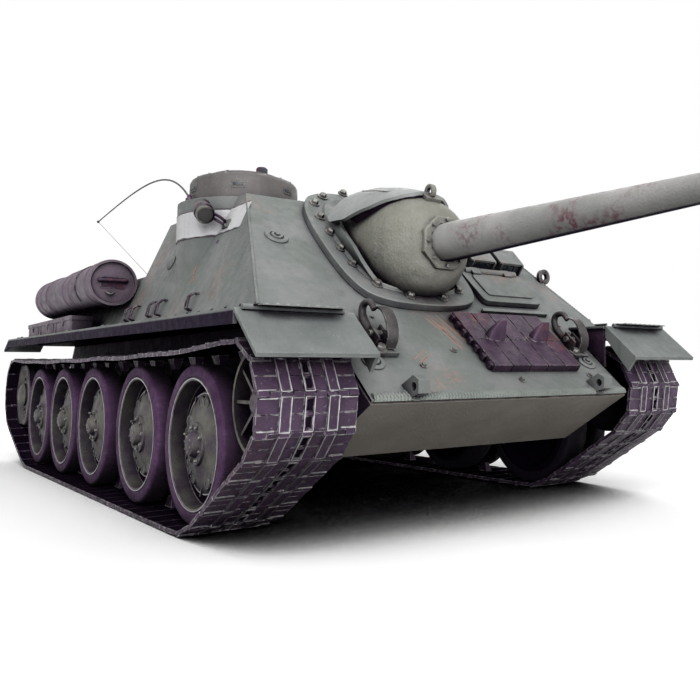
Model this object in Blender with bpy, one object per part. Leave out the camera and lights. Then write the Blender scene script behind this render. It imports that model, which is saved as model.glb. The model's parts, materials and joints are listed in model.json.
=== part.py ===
"""Remote controlled tank in 1:16 scale: casemate hull, long gun, five road wheels a side.

Lengths below are in millimetres and become metres when a mesh is made.
+Z is up, the gun points along -Y, and the vehicle's right side is -X.
Stations along Y are measured in the vehicle's own frame. An empty then moves
every piece, so that the middle of the whole length lies at Y = 0.
"""
import math

import bmesh
import bpy

MM = 0.001
GAP = 0.3                      # clearance between pieces that touch
WELD = 0.004                   # points this close are one point
SIDES = (("right", -1), ("left", 1))

# ---- hull --------------------------------------------------------------
WALL = 2.0                     # moulded wall of both hull halves
HULL_HALF = 58.5               # half width between the tracks
SPONSON_HALF = HULL_HALF + 21.3    # half width just above the fenders
ROOF_HALF = HULL_HALF - 0.5    # half width of the casemate roof
BELLY_Z = 24.0
FLOOR_Z = 69.5                 # underside of the upper hull
SPONSON_Z = 70.75
ROOF_Z = 122.4
DECK_Z = 97.0
NOSE_Y = -231.9
NOSE_Z = 43.7
BELLY_FRONT_Y = -199.0
BELLY_REAR_Y = 110.0
RIDGE_Y = 132.0                # rearmost edge of the hull
RIDGE_Z = 50.0
DECK_REAR_Y = 98.0
CASEMATE_REAR_Y = -53.5
GLACIS_DEG = 40.5

# ---- fenders and mudguards --------------------------------------------
FENDER_MARGIN = 3.05           # fender edge beyond the track
FENDER_FRONT_Y = -221.4
FENDER_FRONT_Z = 69.9
FENDER_REAR_Y = 113.0
FENDER_REAR_Z = 73.0
FENDER_DROP_Y = 126.0
FENDER_DROP_Z = 67.0
FENDER_JOIN_Y = -202.5         # behind this the hull side carries the fender
FENDER_THICK = 1.2
FLANGE_HEIGHT = 4.5
LIP_Y = -236.8
LIP_Z = 57.2
HINGE_R = 0.9                  # barrel of a mudguard hinge

# ---- running gear ------------------------------------------------------
WHEEL_STATIONS = (-170.1, -110.6, -46.6, 9.9, 65.8)
WHEEL_R = 26.17
WHEEL_WIDTH = 24.0
TRACK_THICK = 2.3
TRACK_WIDTH = 31.25
TRACK_INNER = HULL_HALF + 4.0
TRACK_OUTER = TRACK_INNER + TRACK_WIDTH
TRACK_MIDDLE = (TRACK_INNER + TRACK_OUTER) / 2.0
FENDER_HALF = TRACK_OUTER + FENDER_MARGIN
WHEEL_FACE = TRACK_INNER + 1.9 + WHEEL_WIDTH    # outer face of a road wheel
TOP_RUN_ROOM = 2.0             # room between a tyre and the top run
IDLER_Y = -212.8
IDLER_Z = 43.2
IDLER_R = 16.3
IDLER_IN = 9.5                 # inner face from the middle of the track
IDLER_OUT = 7.875
SPROCKET_Y = 113.9
SPROCKET_Z = 39.6
SPROCKET_R = 19.8
SPROCKET_HALF = 10.0           # half width
ROLLER_CIRCLE = SPROCKET_R - 4.3
ROLLER_R = 2.6
ROLLERS = 6
GROOVE_HALF = 2.2              # half of the gap between twin discs
HORN_HALF = 1.6
HORN_HEIGHT = 4.2
HORN_PITCH = 21.6
AXLE_R = 2.5
ARM_BACK = 20.0                # arm pivot ahead of its wheel
ARM_UP = 7.2
ARM_THICK = 4.4
ARM_PIN_R = 2.0

# ---- gun ---------------------------------------------------------------
GUN_X = -11.0
GUN_Y = -172.0                 # trunnion axis
GUN_Z = 98.5
FRAME_HALF = 29.6
FRAME_LOW_Y = -196.2           # lower and upper edge of the bolted frame
FRAME_HIGH_Y = -135.2
MANTLET_R = 20.0
MANTLET_NOSE = 33.0            # nose ahead of the trunnion
MANTLET_WALL = 3.0
MOUTH_CLEAR = 2.2              # all round the moving mantlet
BARREL_ROOT_R = 7.0
BARREL_R = 3.85
BARREL_TAPER_END_Y = -318.0
MUZZLE_Y = -441.0
MUZZLE_BORE_R = 2.9
RECOIL = 8.0
NECK_WALL = 1.7
HOOD_R = MANTLET_R + 8.5
HOOD_SPREAD = 58.0             # each way from the top
HOOD_THICK = 1.5

# ---- roof --------------------------------------------------------------
CUPOLA_X = -ROOF_HALF + 12.9
CUPOLA_Y = -108.3
CUPOLA_R = 23.0
CUPOLA_Z = ROOF_Z + 12.1
BLISTER_R = CUPOLA_R + 4.2
BLISTER_Z = ROOF_Z - 36.4
CUPOLA_LID_R = CUPOLA_R - 7.5
LOADER_X = 22.0
LOADER_Y = -84.0
LOADER_HALF = 17.0
HATCH_LOW_Y = -191.6           # driver's hatch on the front plate
HATCH_HIGH_Y = -175.2
SPARE_LOW_Y = -222.8           # spare links on the front plate
SPARE_HIGH_Y = -198.5
SPARE_RIGHT_X = -3.5
SPARE_LEFT_X = HULL_HALF - 17.5
LAMP_X = CUPOLA_X - BLISTER_R - 0.2
LAMP_Y = CUPOLA_Y - BLISTER_R
LAMP_Z = ROOF_Z - 10.0
LAMP_R = 3.4
LAMP_LENGTH = 10.5
LAMP_AIM = (-0.17, -0.84, -0.52)

ANTENNA_POT_R = 1.5
ANTENNA_TURN = 6.0            # place of the foot around the cupola
WHIP_R = 0.45
WHIP_REACH = 151.0
WHIP_RISE = 24.4
WHIP_DROP = 10.5
WHIP_SPRING = 5.2
WHIP_SHIFT = 3.0
WHIP_STEPS = 14
TIE_X = -ROOF_HALF - 6.5       # foot of the thin line that holds the whip down
TIE_Y = -47.0
TIE_R = 0.25

# ---- rear fittings -----------------------------------------------------
DRUM_X = SPONSON_HALF + 2.4
DRUM_Z = 93.6
DRUM_R = 10.7
DRUM_FRONT_Y = -51.0
DRUM_LENGTH = 113.0
BOX_INNER = SPONSON_HALF + 0.6
BOX_OUTER = BOX_INNER + 11.6
BOX_FRONT_Y = -15.0
BOX_LENGTH = 100.0
BOX_TOP_Z = 80.4

# ---- openings and what lies inside ------------------------------------
DECK_OPEN_HALF = 42.0
DECK_OPEN_FRONT = -38.0
DECK_OPEN_REAR = 82.0
EYE_X = HULL_HALF - 16.0        # lifting eyes on the nose
TRANSMISSION_R = 15.0
TRANSMISSION_Z = 77.5
REAR_PLATE_THICK = 1.6
BATTERY_HALF = 18.0
BATTERY_Y0 = -115.0
BATTERY_Y1 = -35.0
BATTERY_TOP_Z = 46.0
SWITCH_X = 38.0
SWITCH_Y = -20.0
PEDESTAL_Z = 64.0              # top of the gun's turning post
BOARD_Y0 = -25.0
BOARD_Y1 = 50.0
BOARD_Z = 32.0
GEARBOX_WIDTH = 20.0
BOARD_HALF = HULL_HALF - WALL - GEARBOX_WIDTH - 4.5
BOARD_RAIL_X = BOARD_HALF - 6.0

GLACIS_TAN = math.tan(math.radians(GLACIS_DEG))
GLACIS_COS = math.cos(math.radians(GLACIS_DEG))
GLACIS_SIN = math.sin(math.radians(GLACIS_DEG))
SIDE_LEAN = (SPONSON_HALF - ROOF_HALF) / (ROOF_Z - SPONSON_Z)
WHEEL_Z = TRACK_THICK + GAP + WHEEL_R
TRACK_REAR_Y = SPROCKET_Y + SPROCKET_R + GAP + TRACK_THICK
MIDDLE_Y = (MUZZLE_Y + TRACK_REAR_Y) / 2.0


# ======================================================================
# Geometry tools
# ======================================================================
def glacis_z(y, offset=0.0):
    """Height of the front plate at station y, offset along its normal."""
    return NOSE_Z + (y - NOSE_Y) * GLACIS_TAN + offset / GLACIS_COS


def glacis_y(z, offset=0.0):
    """Station of the front plate at height z, offset along its normal."""
    return NOSE_Y + (z - NOSE_Z - offset / GLACIS_COS) / GLACIS_TAN


def on_glacis(x, along, offset):
    """Point on the front plate: along is measured up the slope from the nose."""
    return (x,
            NOSE_Y + along * GLACIS_COS - offset * GLACIS_SIN,
            NOSE_Z + along * GLACIS_SIN + offset * GLACIS_COS)


def up_slope(y):
    """Distance up the front plate from the nose to station y."""
    return (y - NOSE_Y) / GLACIS_COS


def side_x(z, offset=0.0):
    """Half width of the sloped hull side at height z."""
    return SPONSON_HALF - (z - SPONSON_Z) * SIDE_LEAN + offset * math.hypot(1.0, SIDE_LEAN)


def fender_z(y):
    """Top of the fender at station y."""
    share = (y - FENDER_FRONT_Y) / (FENDER_REAR_Y - FENDER_FRONT_Y)
    return FENDER_FRONT_Z + share * (FENDER_REAR_Z - FENDER_FRONT_Z)


def solid(vertices, faces):
    """Mesh object with outward faces, from millimetre points."""
    mesh = bpy.data.meshes.new("shape")
    mesh.from_pydata([tuple(c * MM for c in v) for v in vertices], [], faces)
    work = bmesh.new()
    work.from_mesh(mesh)
    bmesh.ops.recalc_face_normals(work, faces=work.faces)
    work.to_mesh(mesh)
    work.free()
    shape = bpy.data.objects.new("shape", mesh)
    bpy.context.scene.collection.objects.link(shape)
    return shape


def loft(first, last):
    """Closed solid between two outlines with the same number of points."""
    count = len(first)
    faces = [tuple(range(count)), tuple(range(2 * count - 1, count - 1, -1))]
    for i in range(count):
        j = (i + 1) % count
        faces.append((i, j, count + j, count + i))
    return solid(list(first) + list(last), faces)


def prism(outline, low, high, axis="X"):
    """Extrude a flat outline along X (y, z), Y (x, z) or Z (x, y)."""
    place = {
        "X": lambda a, b, c: (c, a, b),
        "Y": lambda a, b, c: (a, c, b),
        "Z": lambda a, b, c: (a, b, c),
    }[axis]
    return loft([place(a, b, low) for a, b in outline],
                [place(a, b, high) for a, b in outline])


def box(low, high):
    """Axis-aligned box between two corners."""
    (x0, y0, z0), (x1, y1, z1) = low, high
    return prism([(x0, y0), (x1, y0), (x1, y1), (x0, y1)], z0, z1, "Z")


def glacis_block(outline, low, high):
    """Outline of (x, distance up the slope), raised along the plate's normal."""
    return loft([on_glacis(x, w, low) for x, w in outline],
                [on_glacis(x, w, high) for x, w in outline])


def turned(profile, centre, axis="X", steps=20, start=0.0):
    """Turn a (distance along the axis, radius) profile about an axis."""
    frame = {
        "X": lambda h, a, b: (h, a, b),
        "Y": lambda h, a, b: (b, h, a),
        "Z": lambda h, a, b: (a, b, h),
    }[axis]
    vertices, rings = [], []
    for h, r in profile:
        if r < 1e-6:
            rings.append([len(vertices)] * steps)
            vertices.append(frame(h, 0.0, 0.0))
            continue
        ring = []
        for i in range(steps):
            turn = start + 2.0 * math.pi * i / steps
            ring.append(len(vertices))
            vertices.append(frame(h, r * math.cos(turn), r * math.sin(turn)))
        rings.append(ring)
    faces = []
    closed = profile[0][1] > 1e-6
    spans = len(rings) if closed else len(rings) - 1
    for k in range(spans):
        near, far = rings[k], rings[(k + 1) % len(rings)]
        for i in range(steps):
            j = (i + 1) % steps
            corners = (near[i], near[j], far[j], far[i])
            faces.append(tuple(dict.fromkeys(corners)))
    points = [tuple(p + c for p, c in zip(v, centre)) for v in vertices]
    return solid(points, faces)


def rod(start, end, radius, steps=10):
    """Round bar between two points."""
    span = [e - s for s, e in zip(start, end)]
    length = math.sqrt(sum(c * c for c in span))
    unit = [c / length for c in span]
    helper = (0.0, 0.0, 1.0) if abs(unit[2]) < 0.9 else (1.0, 0.0, 0.0)
    side = [unit[1] * helper[2] - unit[2] * helper[1],
            unit[2] * helper[0] - unit[0] * helper[2],
            unit[0] * helper[1] - unit[1] * helper[0]]
    size = math.sqrt(sum(c * c for c in side))
    side = [c / size for c in side]
    other = [unit[1] * side[2] - unit[2] * side[1],
             unit[2] * side[0] - unit[0] * side[2],
             unit[0] * side[1] - unit[1] * side[0]]
    rings = []
    for centre in (start, end):
        ring = []
        for i in range(steps):
            turn = 2.0 * math.pi * i / steps
            ring.append(tuple(c + radius * (math.cos(turn) * s + math.sin(turn) * o)
                              for c, s, o in zip(centre, side, other)))
        rings.append(ring)
    return loft(*rings)


def tube_along(points, radius, steps=6):
    """Thin round bar through a list of points."""
    curve = bpy.data.curves.new("line", "CURVE")
    curve.dimensions = "3D"
    curve.bevel_depth = radius * MM
    curve.bevel_resolution = steps // 4
    curve.use_fill_caps = True
    spline = curve.splines.new("POLY")
    spline.points.add(len(points) - 1)
    for point, place in zip(spline.points, points):
        point.co = (*(c * MM for c in place), 1.0)
    line = bpy.data.objects.new("line", curve)
    bpy.context.scene.collection.objects.link(line)
    mesh = bpy.data.meshes.new_from_object(
        line.evaluated_get(bpy.context.evaluated_depsgraph_get()))
    bpy.data.objects.remove(line)
    shape = bpy.data.objects.new("shape", mesh)
    bpy.context.scene.collection.objects.link(shape)
    return shape


def weld(mesh):
    """Merge points closer than WELD and drop the slivers this leaves."""
    work = bmesh.new()
    work.from_mesh(mesh)
    bmesh.ops.remove_doubles(work, verts=work.verts, dist=WELD * MM)
    bmesh.ops.dissolve_degenerate(work, edges=work.edges, dist=WELD * MM)
    work.to_mesh(mesh)
    work.free()


def boolean(base, tool, operation):
    """Apply one exact Boolean and drop the tool."""
    step = base.modifiers.new("step", "BOOLEAN")
    step.operation = operation
    step.solver = "EXACT"
    step.object = tool
    bpy.context.view_layer.update()
    result = base.evaluated_get(bpy.context.evaluated_depsgraph_get())
    mesh = bpy.data.meshes.new_from_object(result)
    base.modifiers.clear()
    base.data = mesh
    bpy.data.objects.remove(tool)
    weld(mesh)
    return base


def join(base, *tools):
    """Union of overlapping shapes."""
    for tool in tools:
        boolean(base, tool, "UNION")
    return base


def cut(base, *tools):
    """Remove shapes from the base."""
    for tool in tools:
        boolean(base, tool, "DIFFERENCE")
    return base


def common(base, tool):
    """Keep what two shapes share."""
    return boolean(base, tool, "INTERSECT")


def paint(name, colour, roughness, metallic=0.0):
    """Plain Principled material."""
    material = bpy.data.materials.new(name)
    material.use_nodes = True
    shader = material.node_tree.nodes["Principled BSDF"]
    shader.inputs["Base Color"].default_value = (*colour, 1.0)
    shader.inputs["Roughness"].default_value = roughness
    shader.inputs["Metallic"].default_value = metallic
    return material


def finish(shape, name, material, pivot=None):
    """Name a piece, give it its material and its origin on its joint's axis."""
    shape.name = name
    shape.data.name = name
    shape.data.materials.clear()
    shape.data.materials.append(material)
    if pivot:
        for vertex in shape.data.vertices:
            vertex.co.x -= pivot[0] * MM
            vertex.co.y -= pivot[1] * MM
            vertex.co.z -= pivot[2] * MM
        shape.location = [c * MM for c in pivot]
    return shape


# ======================================================================
# Hull
# ======================================================================
def section(offset, low, top):
    """Cross-section (x, z) of the upper hull, moved in by offset."""
    lower = side_x(SPONSON_Z) - offset * math.hypot(1.0, SIDE_LEAN)
    upper = lower - (top - SPONSON_Z) * SIDE_LEAN
    return [(-lower, low), (lower, low), (lower, SPONSON_Z), (upper, top), (-upper, top),
            (-lower, SPONSON_Z)]


def rear_slope_y(z, offset=0.0):
    """Station of the sloped upper rear plate at height z."""
    share = (z - RIDGE_Z) / (DECK_Z - RIDGE_Z)
    return RIDGE_Y + share * (DECK_REAR_Y - RIDGE_Y) + offset


def upper_profile(offset, low):
    """Side outline (y, z) of the upper hull, moved in by offset."""
    roof, deck = ROOF_Z - offset, DECK_Z - offset
    return [(glacis_y(low, -offset), low), (glacis_y(roof, -offset), roof),
            (CASEMATE_REAR_Y - offset, roof), (CASEMATE_REAR_Y - offset, deck),
            (rear_slope_y(deck, -1.2 * offset), deck), (rear_slope_y(low, -1.2 * offset), low)]


def mantlet_profile(grow):
    """(distance ahead of the trunnion along -Y, radius) of the mantlet."""
    ball = MANTLET_R + grow
    points = [(-ball * math.cos(math.radians(a)), ball * math.sin(math.radians(a)))
              for a in (0, 22, 45, 68)]
    points += [(0.0, ball), (13.0, ball)]
    depth = MANTLET_NOSE - 13.0 + grow
    drop = MANTLET_R - BARREL_ROOT_R - 2.5
    for a in (30, 55, 75):
        points.append((13.0 + depth * math.sin(math.radians(a)),
                       ball - drop * (1.0 - math.cos(math.radians(a)))))
    points.append((13.0 + depth, BARREL_ROOT_R + 2.5 + grow))
    points.append((13.0 + depth, 0.0))
    return [(-s, r) for s, r in points]


def mantlet_room():
    """Space that the moving mantlet needs."""
    return turned(mantlet_profile(MOUTH_CLEAR), (GUN_X, GUN_Y, GUN_Z), "Y", 24)


def driver_hatch_outline(grow):
    """(x, up slope) outline of the driver's hatch."""
    low, high = up_slope(HATCH_LOW_Y) - grow, up_slope(HATCH_HIGH_Y) + grow
    inner = GUN_X + FRAME_HALF + 1.2 - grow
    return [(inner, low), (52.0 + grow, low), (55.0 + grow, high), (inner, high)]


def make_upper_hull(material):
    hull = prism(upper_profile(0.0, FLOOR_Z), -100.0, 100.0)
    common(hull, prism(section(0.0, FLOOR_Z - 5.0, ROOF_Z), -260.0, 160.0, "Y"))
    join(hull, turned([(BLISTER_Z, 0.0), (BLISTER_Z, BLISTER_R), (ROOF_Z, BLISTER_R),
                       (ROOF_Z, 0.0)], (CUPOLA_X, CUPOLA_Y, 0.0), "Z", 32))
    room = prism(upper_profile(WALL, FLOOR_Z + WALL), -100.0, 100.0)
    common(room, prism(section(WALL, FLOOR_Z - 5.0, ROOF_Z), -260.0, 160.0, "Y"))
    join(room, turned([(BLISTER_Z + WALL, 0.0), (BLISTER_Z + WALL, BLISTER_R - WALL),
                       (ROOF_Z - WALL, BLISTER_R - WALL), (ROOF_Z - WALL, 0.0)],
                      (CUPOLA_X, CUPOLA_Y, 0.0), "Z", 32))
    cut(hull, room)
    inner = HULL_HALF - 1.5 * WALL
    cut(hull, box((-inner, -190.0, FLOOR_Z - 1.0), (inner, RIDGE_Y - 25.0, FLOOR_Z + 5.0)))
    nose = prism([(NOSE_Y, NOSE_Z), (NOSE_Y + 0.4, NOSE_Z - 0.6),
                  (glacis_y(FLOOR_Z + 4.0, -WALL), FLOOR_Z + 4.0 - 0.001),
                  (glacis_y(FLOOR_Z + 4.0), FLOOR_Z + 4.0)], -HULL_HALF, HULL_HALF)
    join(hull, nose)
    cut(hull, box((-HULL_HALF + 1.0, -199.0, FLOOR_Z - 3.0),
                  (HULL_HALF - 1.0, -185.0, FLOOR_Z + 0.001)))
    for side in (-1, 1):
        join(hull, make_fender(side))
    cut(hull, mantlet_room())
    cut(hull, glacis_block(driver_hatch_outline(-3.0), -6.0, 4.0))
    cut(hull, turned([(ROOF_Z - 6.0, 0.0), (ROOF_Z - 6.0, CUPOLA_LID_R - 1.0),
                      (ROOF_Z + 3.0, CUPOLA_LID_R - 1.0), (ROOF_Z + 3.0, 0.0)],
                     (CUPOLA_X, CUPOLA_Y, 0.0), "Z", 24))
    opening = LOADER_HALF - 3.0
    cut(hull, box((LOADER_X - opening, LOADER_Y - opening, ROOF_Z - 6.0),
                  (LOADER_X + opening, LOADER_Y + opening, ROOF_Z + 3.0)))
    cut(hull, box((-DECK_OPEN_HALF, DECK_OPEN_FRONT, DECK_Z - 6.0),
                  (DECK_OPEN_HALF, DECK_OPEN_REAR, DECK_Z + 3.0)))
    cut(hull, rear_disc(TRANSMISSION_R - 3.0, -8.0, 6.0))
    for x in (-EYE_X, EYE_X):
        join(hull, lifting_eye(x))
    return finish(hull, "upper_hull", material)


def rear_normal():
    """Unit normal (y, z) of the upper rear plate."""
    run, rise = RIDGE_Y - DECK_REAR_Y, DECK_Z - RIDGE_Z
    length = math.hypot(run, rise)
    return rise / length, run / length


def on_rear(x, z, offset):
    """Point at height z on the upper rear plate, offset along its normal."""
    ny, nz = rear_normal()
    return x, rear_slope_y(z) + offset * ny, z + offset * nz


def rear_disc(radius, low, high, steps=24):
    """Disc lying on the upper rear plate around the transmission opening."""
    run, rise = RIDGE_Y - DECK_REAR_Y, DECK_Z - RIDGE_Z
    stretch = rise / math.hypot(run, rise)
    rings = []
    for offset in (low, high):
        ring = []
        for i in range(steps):
            turn = 2.0 * math.pi * i / steps
            ring.append(on_rear(radius * math.cos(turn),
                                TRANSMISSION_Z + radius * math.sin(turn) * stretch, offset))
        rings.append(ring)
    return loft(*rings)


def lifting_eye(x):
    """Eye plate standing on the nose edge."""
    eye = prism([(-231.4, 44.1), (-236.2, 45.4), (-236.2, 49.6), (-233.2, 51.0), (-226.0, 47.4)],
                x - 2.2, x + 2.2)
    cut(eye, turned([(x - 4.0, 0.0), (x - 4.0, 1.4), (x + 4.0, 1.4), (x + 4.0, 0.0)],
                    (0.0, -233.6, 47.5), "X", 10))
    return eye


def make_fender(side):
    """Fender plate over one track, with its outer flange."""
    top = [(FENDER_FRONT_Y, FENDER_FRONT_Z), (FENDER_REAR_Y, FENDER_REAR_Z),
           (FENDER_DROP_Y, FENDER_DROP_Z)]
    low = [(y, z - FENDER_THICK) for y, z in reversed(top)]
    plate = prism(top + low, *sorted((side * (SPONSON_HALF - 3.0), side * FENDER_HALF)))
    front = [(FENDER_FRONT_Y, FENDER_FRONT_Z), (FENDER_JOIN_Y, fender_z(FENDER_JOIN_Y)),
             (FENDER_JOIN_Y, fender_z(FENDER_JOIN_Y) - FENDER_THICK),
             (FENDER_FRONT_Y, FENDER_FRONT_Z - FENDER_THICK)]
    join(plate, prism(front, *sorted((side * (HULL_HALF - 0.6), side * (FENDER_HALF - 5.0)))))
    edge = sorted((side * (FENDER_HALF - FENDER_THICK), side * FENDER_HALF))
    drop = [(FENDER_DROP_Y - 1.0, FENDER_DROP_Z - 1.0),
            (FENDER_REAR_Y, FENDER_REAR_Z - FLANGE_HEIGHT),
            (FENDER_FRONT_Y, FENDER_FRONT_Z - FLANGE_HEIGHT)]
    join(plate, prism([top[0], top[1], top[2]] + drop, *edge))
    return plate


def make_lower_hull(material):
    """Open tub between the tracks."""
    rim = FLOOR_Z - GAP

    def outline(grow):
        low = BELLY_Z + grow
        return [(BELLY_FRONT_Y + 0.9 * grow, low), (NOSE_Y + 0.7 + 2.0 * grow, NOSE_Z - 1.3),
                (glacis_y(rim, -WALL - GAP) + 1.6 * grow, rim),
                (rear_slope_y(rim) - 1.2 * grow, rim),
                (RIDGE_Y - 1.2 * grow, RIDGE_Z), (BELLY_REAR_Y - 0.6 * grow, low)]

    tub = prism(outline(0.0), -HULL_HALF, HULL_HALF)
    inside = outline(WALL)
    inside = [(y, z + 5.0 if z > rim - 0.1 else z) for y, z in inside]
    cut(tub, prism(inside, -HULL_HALF + WALL, HULL_HALF - WALL))
    half = BATTERY_HALF + 2.0
    cut(tub, box((-half - GAP, BATTERY_Y0 - 2.0 - GAP, BELLY_Z - 2.0),
                 (half + GAP, BATTERY_Y1 + 2.0 + GAP, BELLY_Z + WALL + 2.0)))
    cut(tub, box((SWITCH_X - 2.2, SWITCH_Y - 4.6, BELLY_Z - 2.0),
                 (SWITCH_X + 2.2, SWITCH_Y + 4.6, BELLY_Z + WALL + 2.0)))
    join(tub, turned([(BELLY_Z + 0.5, 0.0), (BELLY_Z + 0.5, 6.0), (PEDESTAL_Z, 6.0),
                      (PEDESTAL_Z, 0.0)], (GUN_X, GUN_Y, 0.0), "Z", 16))
    cut(tub, turned([(PEDESTAL_Z - 14.0, 0.0), (PEDESTAL_Z - 14.0, 3.0 + GAP),
                     (PEDESTAL_Z + 1.0, 3.0 + GAP), (PEDESTAL_Z + 1.0, 0.0)],
                    (GUN_X, GUN_Y, 0.0), "Z", 16))
    for x in (-BOARD_RAIL_X, BOARD_RAIL_X):
        join(tub, box((x - 1.5, BOARD_Y0, BELLY_Z + 1.0), (x + 1.5, BOARD_Y1, BOARD_Z - GAP)))
    for y in WHEEL_STATIONS:
        for _, side in SIDES:
            cut(tub, rod((side * (HULL_HALF - 2.0 * WALL), y - ARM_BACK, WHEEL_Z + ARM_UP),
                         (side * (HULL_HALF + 5.0), y - ARM_BACK, WHEEL_Z + ARM_UP),
                         ARM_PIN_R + GAP, 12))
    cut(tub, rod((-70.0, SPROCKET_Y, SPROCKET_Z), (70.0, SPROCKET_Y, SPROCKET_Z), 4.0, 12))
    cut(tub, rod((-70.0, IDLER_Y, IDLER_Z), (70.0, IDLER_Y, IDLER_Z), 4.0, 12))
    return finish(tub, "lower_hull", material)


def make_battery(cover_paint, pack_paint):
    half = BATTERY_HALF + 2.0
    cover = box((-half, BATTERY_Y0 - 2.0, BELLY_Z), (half, BATTERY_Y1 + 2.0, BELLY_Z + 1.6))
    finish(cover, "battery_cover", cover_paint)
    pack = box((-BATTERY_HALF, BATTERY_Y0, BELLY_Z + 1.6 + GAP),
               (BATTERY_HALF, BATTERY_Y1, BATTERY_TOP_Z))
    finish(pack, "battery_pack", pack_paint)


def make_switch(material):
    knob = box((SWITCH_X - 1.7, SWITCH_Y - 2.8, BELLY_Z - 1.2), (SWITCH_X + 1.7, SWITCH_Y, 28.0))
    join(knob, box((SWITCH_X - 5.0, SWITCH_Y - 4.4, BELLY_Z + WALL + GAP),
                   (SWITCH_X + 5.0, SWITCH_Y + 1.6, 29.0)))
    finish(knob, "power_switch", material)


def make_board(material):
    board = box((-BOARD_HALF, BOARD_Y0 + 1.0, BOARD_Z),
                (BOARD_HALF, BOARD_Y1 - 1.0, BOARD_Z + 1.6))
    join(board, box((-20.0, -10.0, BOARD_Z + 1.0), (0.0, 12.0, BOARD_Z + 6.0)),
         box((6.0, 0.0, BOARD_Z + 1.0), (24.0, 30.0, BOARD_Z + 9.0)))
    finish(board, "control_board", material)


def make_gearbox(side, name, material):
    inner = HULL_HALF - WALL
    outline = [(78.0, BELLY_Z + WALL + GAP), (BELLY_REAR_Y - 4.5, BELLY_Z + WALL + GAP),
               (SPROCKET_Y + 5.0, SPROCKET_Z + 4.0), (SPROCKET_Y + 5.0, 54.0), (78.0, 54.0)]
    case = prism(outline, *sorted((side * (inner - GAP), side * (inner - GEARBOX_WIDTH))))
    motor = turned([(0.0, 0.0), (0.0, 9.0), (-42.0, 9.0), (-42.0, 0.0)],
                   (side * (inner - 10.0), 79.0, 40.0), "Y", 14)
    shaft = rod((side * (inner - 2.0), SPROCKET_Y, SPROCKET_Z),
                (side * (TRACK_OUTER - 8.0), SPROCKET_Y, SPROCKET_Z), AXLE_R, 10)
    join(case, motor, shaft)
    finish(case, name, material)


def make_engine_deck(material):
    low, top = DECK_Z + GAP, DECK_Z + 2.2
    deck = box((-DECK_OPEN_HALF - 4.0, DECK_OPEN_FRONT - 4.0, low),
               (DECK_OPEN_HALF + 4.0, DECK_OPEN_REAR + 4.0, top))
    for k in range(6):
        y = DECK_OPEN_FRONT + 66.0 + 8.5 * k
        cut(deck, box((-34.0, y, low - 1.0), (34.0, y + 4.0, top + 1.0)))
    join(deck, box((-20.0, DECK_OPEN_FRONT + 6.0, top - 1.0),
                   (20.0, DECK_OPEN_FRONT + 54.0, top + 2.4)))
    finish(deck, "engine_deck", material)


def make_rear(plate_paint):
    low_z, top_z = RIDGE_Z + 4.0, DECK_Z - 3.0
    ring = [(-HULL_HALF, low_z), (HULL_HALF, low_z), (HULL_HALF, top_z), (-HULL_HALF, top_z)]
    plate = loft([on_rear(x, z, GAP) for x, z in ring],
                 [on_rear(x, z, GAP + REAR_PLATE_THICK) for x, z in ring])
    cut(plate, rear_disc(TRANSMISSION_R - 3.0, -8.0, 8.0))
    for x in (-38.0, 38.0):
        join(plate, rod(on_rear(x, 76.0, GAP + 0.6), on_rear(x, 76.0, 9.0), 4.2, 12))
    finish(plate, "rear_plate", plate_paint)
    base = GAP + REAR_PLATE_THICK + GAP
    lid = rear_disc(TRANSMISSION_R, base, base + 2.0)
    finish(lid, "transmission_hatch", plate_paint,
           on_rear(0.0, TRANSMISSION_Z + TRANSMISSION_R * rear_normal()[0], base))


# ======================================================================
# Gun
# ======================================================================
def frame_outline(grow):
    """(x, up slope) outline of the bolted frame."""
    half, low, high = FRAME_HALF + grow, up_slope(FRAME_LOW_Y) - grow, up_slope(FRAME_HIGH_Y) + grow
    return [(GUN_X - 0.62 * half, low), (GUN_X + 0.62 * half, low), (GUN_X + half, low + 11.0),
            (GUN_X + half, high - 20.0), (GUN_X + 0.62 * half, high),
            (GUN_X - 0.62 * half, high), (GUN_X - half, high - 20.0), (GUN_X - half, low + 11.0)]


def make_gun_mount(material):
    frame = glacis_block(frame_outline(0.0), GAP, 3.4)
    collar = loft([on_glacis(x, w, 1.0) for x, w in frame_outline(-4.5)],
                  [collar_rim(x, w) for x, w in frame_outline(-6.0)])
    cut(collar, hood_room())
    join(frame, collar)
    cut(frame, mantlet_room())
    cut(frame, box((-60, -260, GUN_Z - 6.0), (60, GUN_Y - 6.0, 140.0)))
    finish(frame, "gun_mount_frame", material)


def hood_room():
    """Space that the moving hood needs around the collar's neck."""
    neck = MANTLET_R + MOUTH_CLEAR + NECK_WALL
    ring = turned([(16.0, neck), (16.0, neck + 22.0), (-30.0, neck + 22.0), (-30.0, neck)],
                  (GUN_X, GUN_Y, GUN_Z), "Y", 24)
    return common(ring, box((-80.0, -230.0, GUN_Z + 8.0), (80.0, -120.0, 160.0)))


def collar_rim(x, along):
    """Upper rim of the collar: it rises towards the middle of the slope."""
    share = (along - up_slope(FRAME_LOW_Y)) / (up_slope(FRAME_HIGH_Y) - up_slope(FRAME_LOW_Y))
    return on_glacis(x, along, 4.0 + 9.0 * math.sin(math.pi * min(max(share, 0.0), 1.0)))


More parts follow.
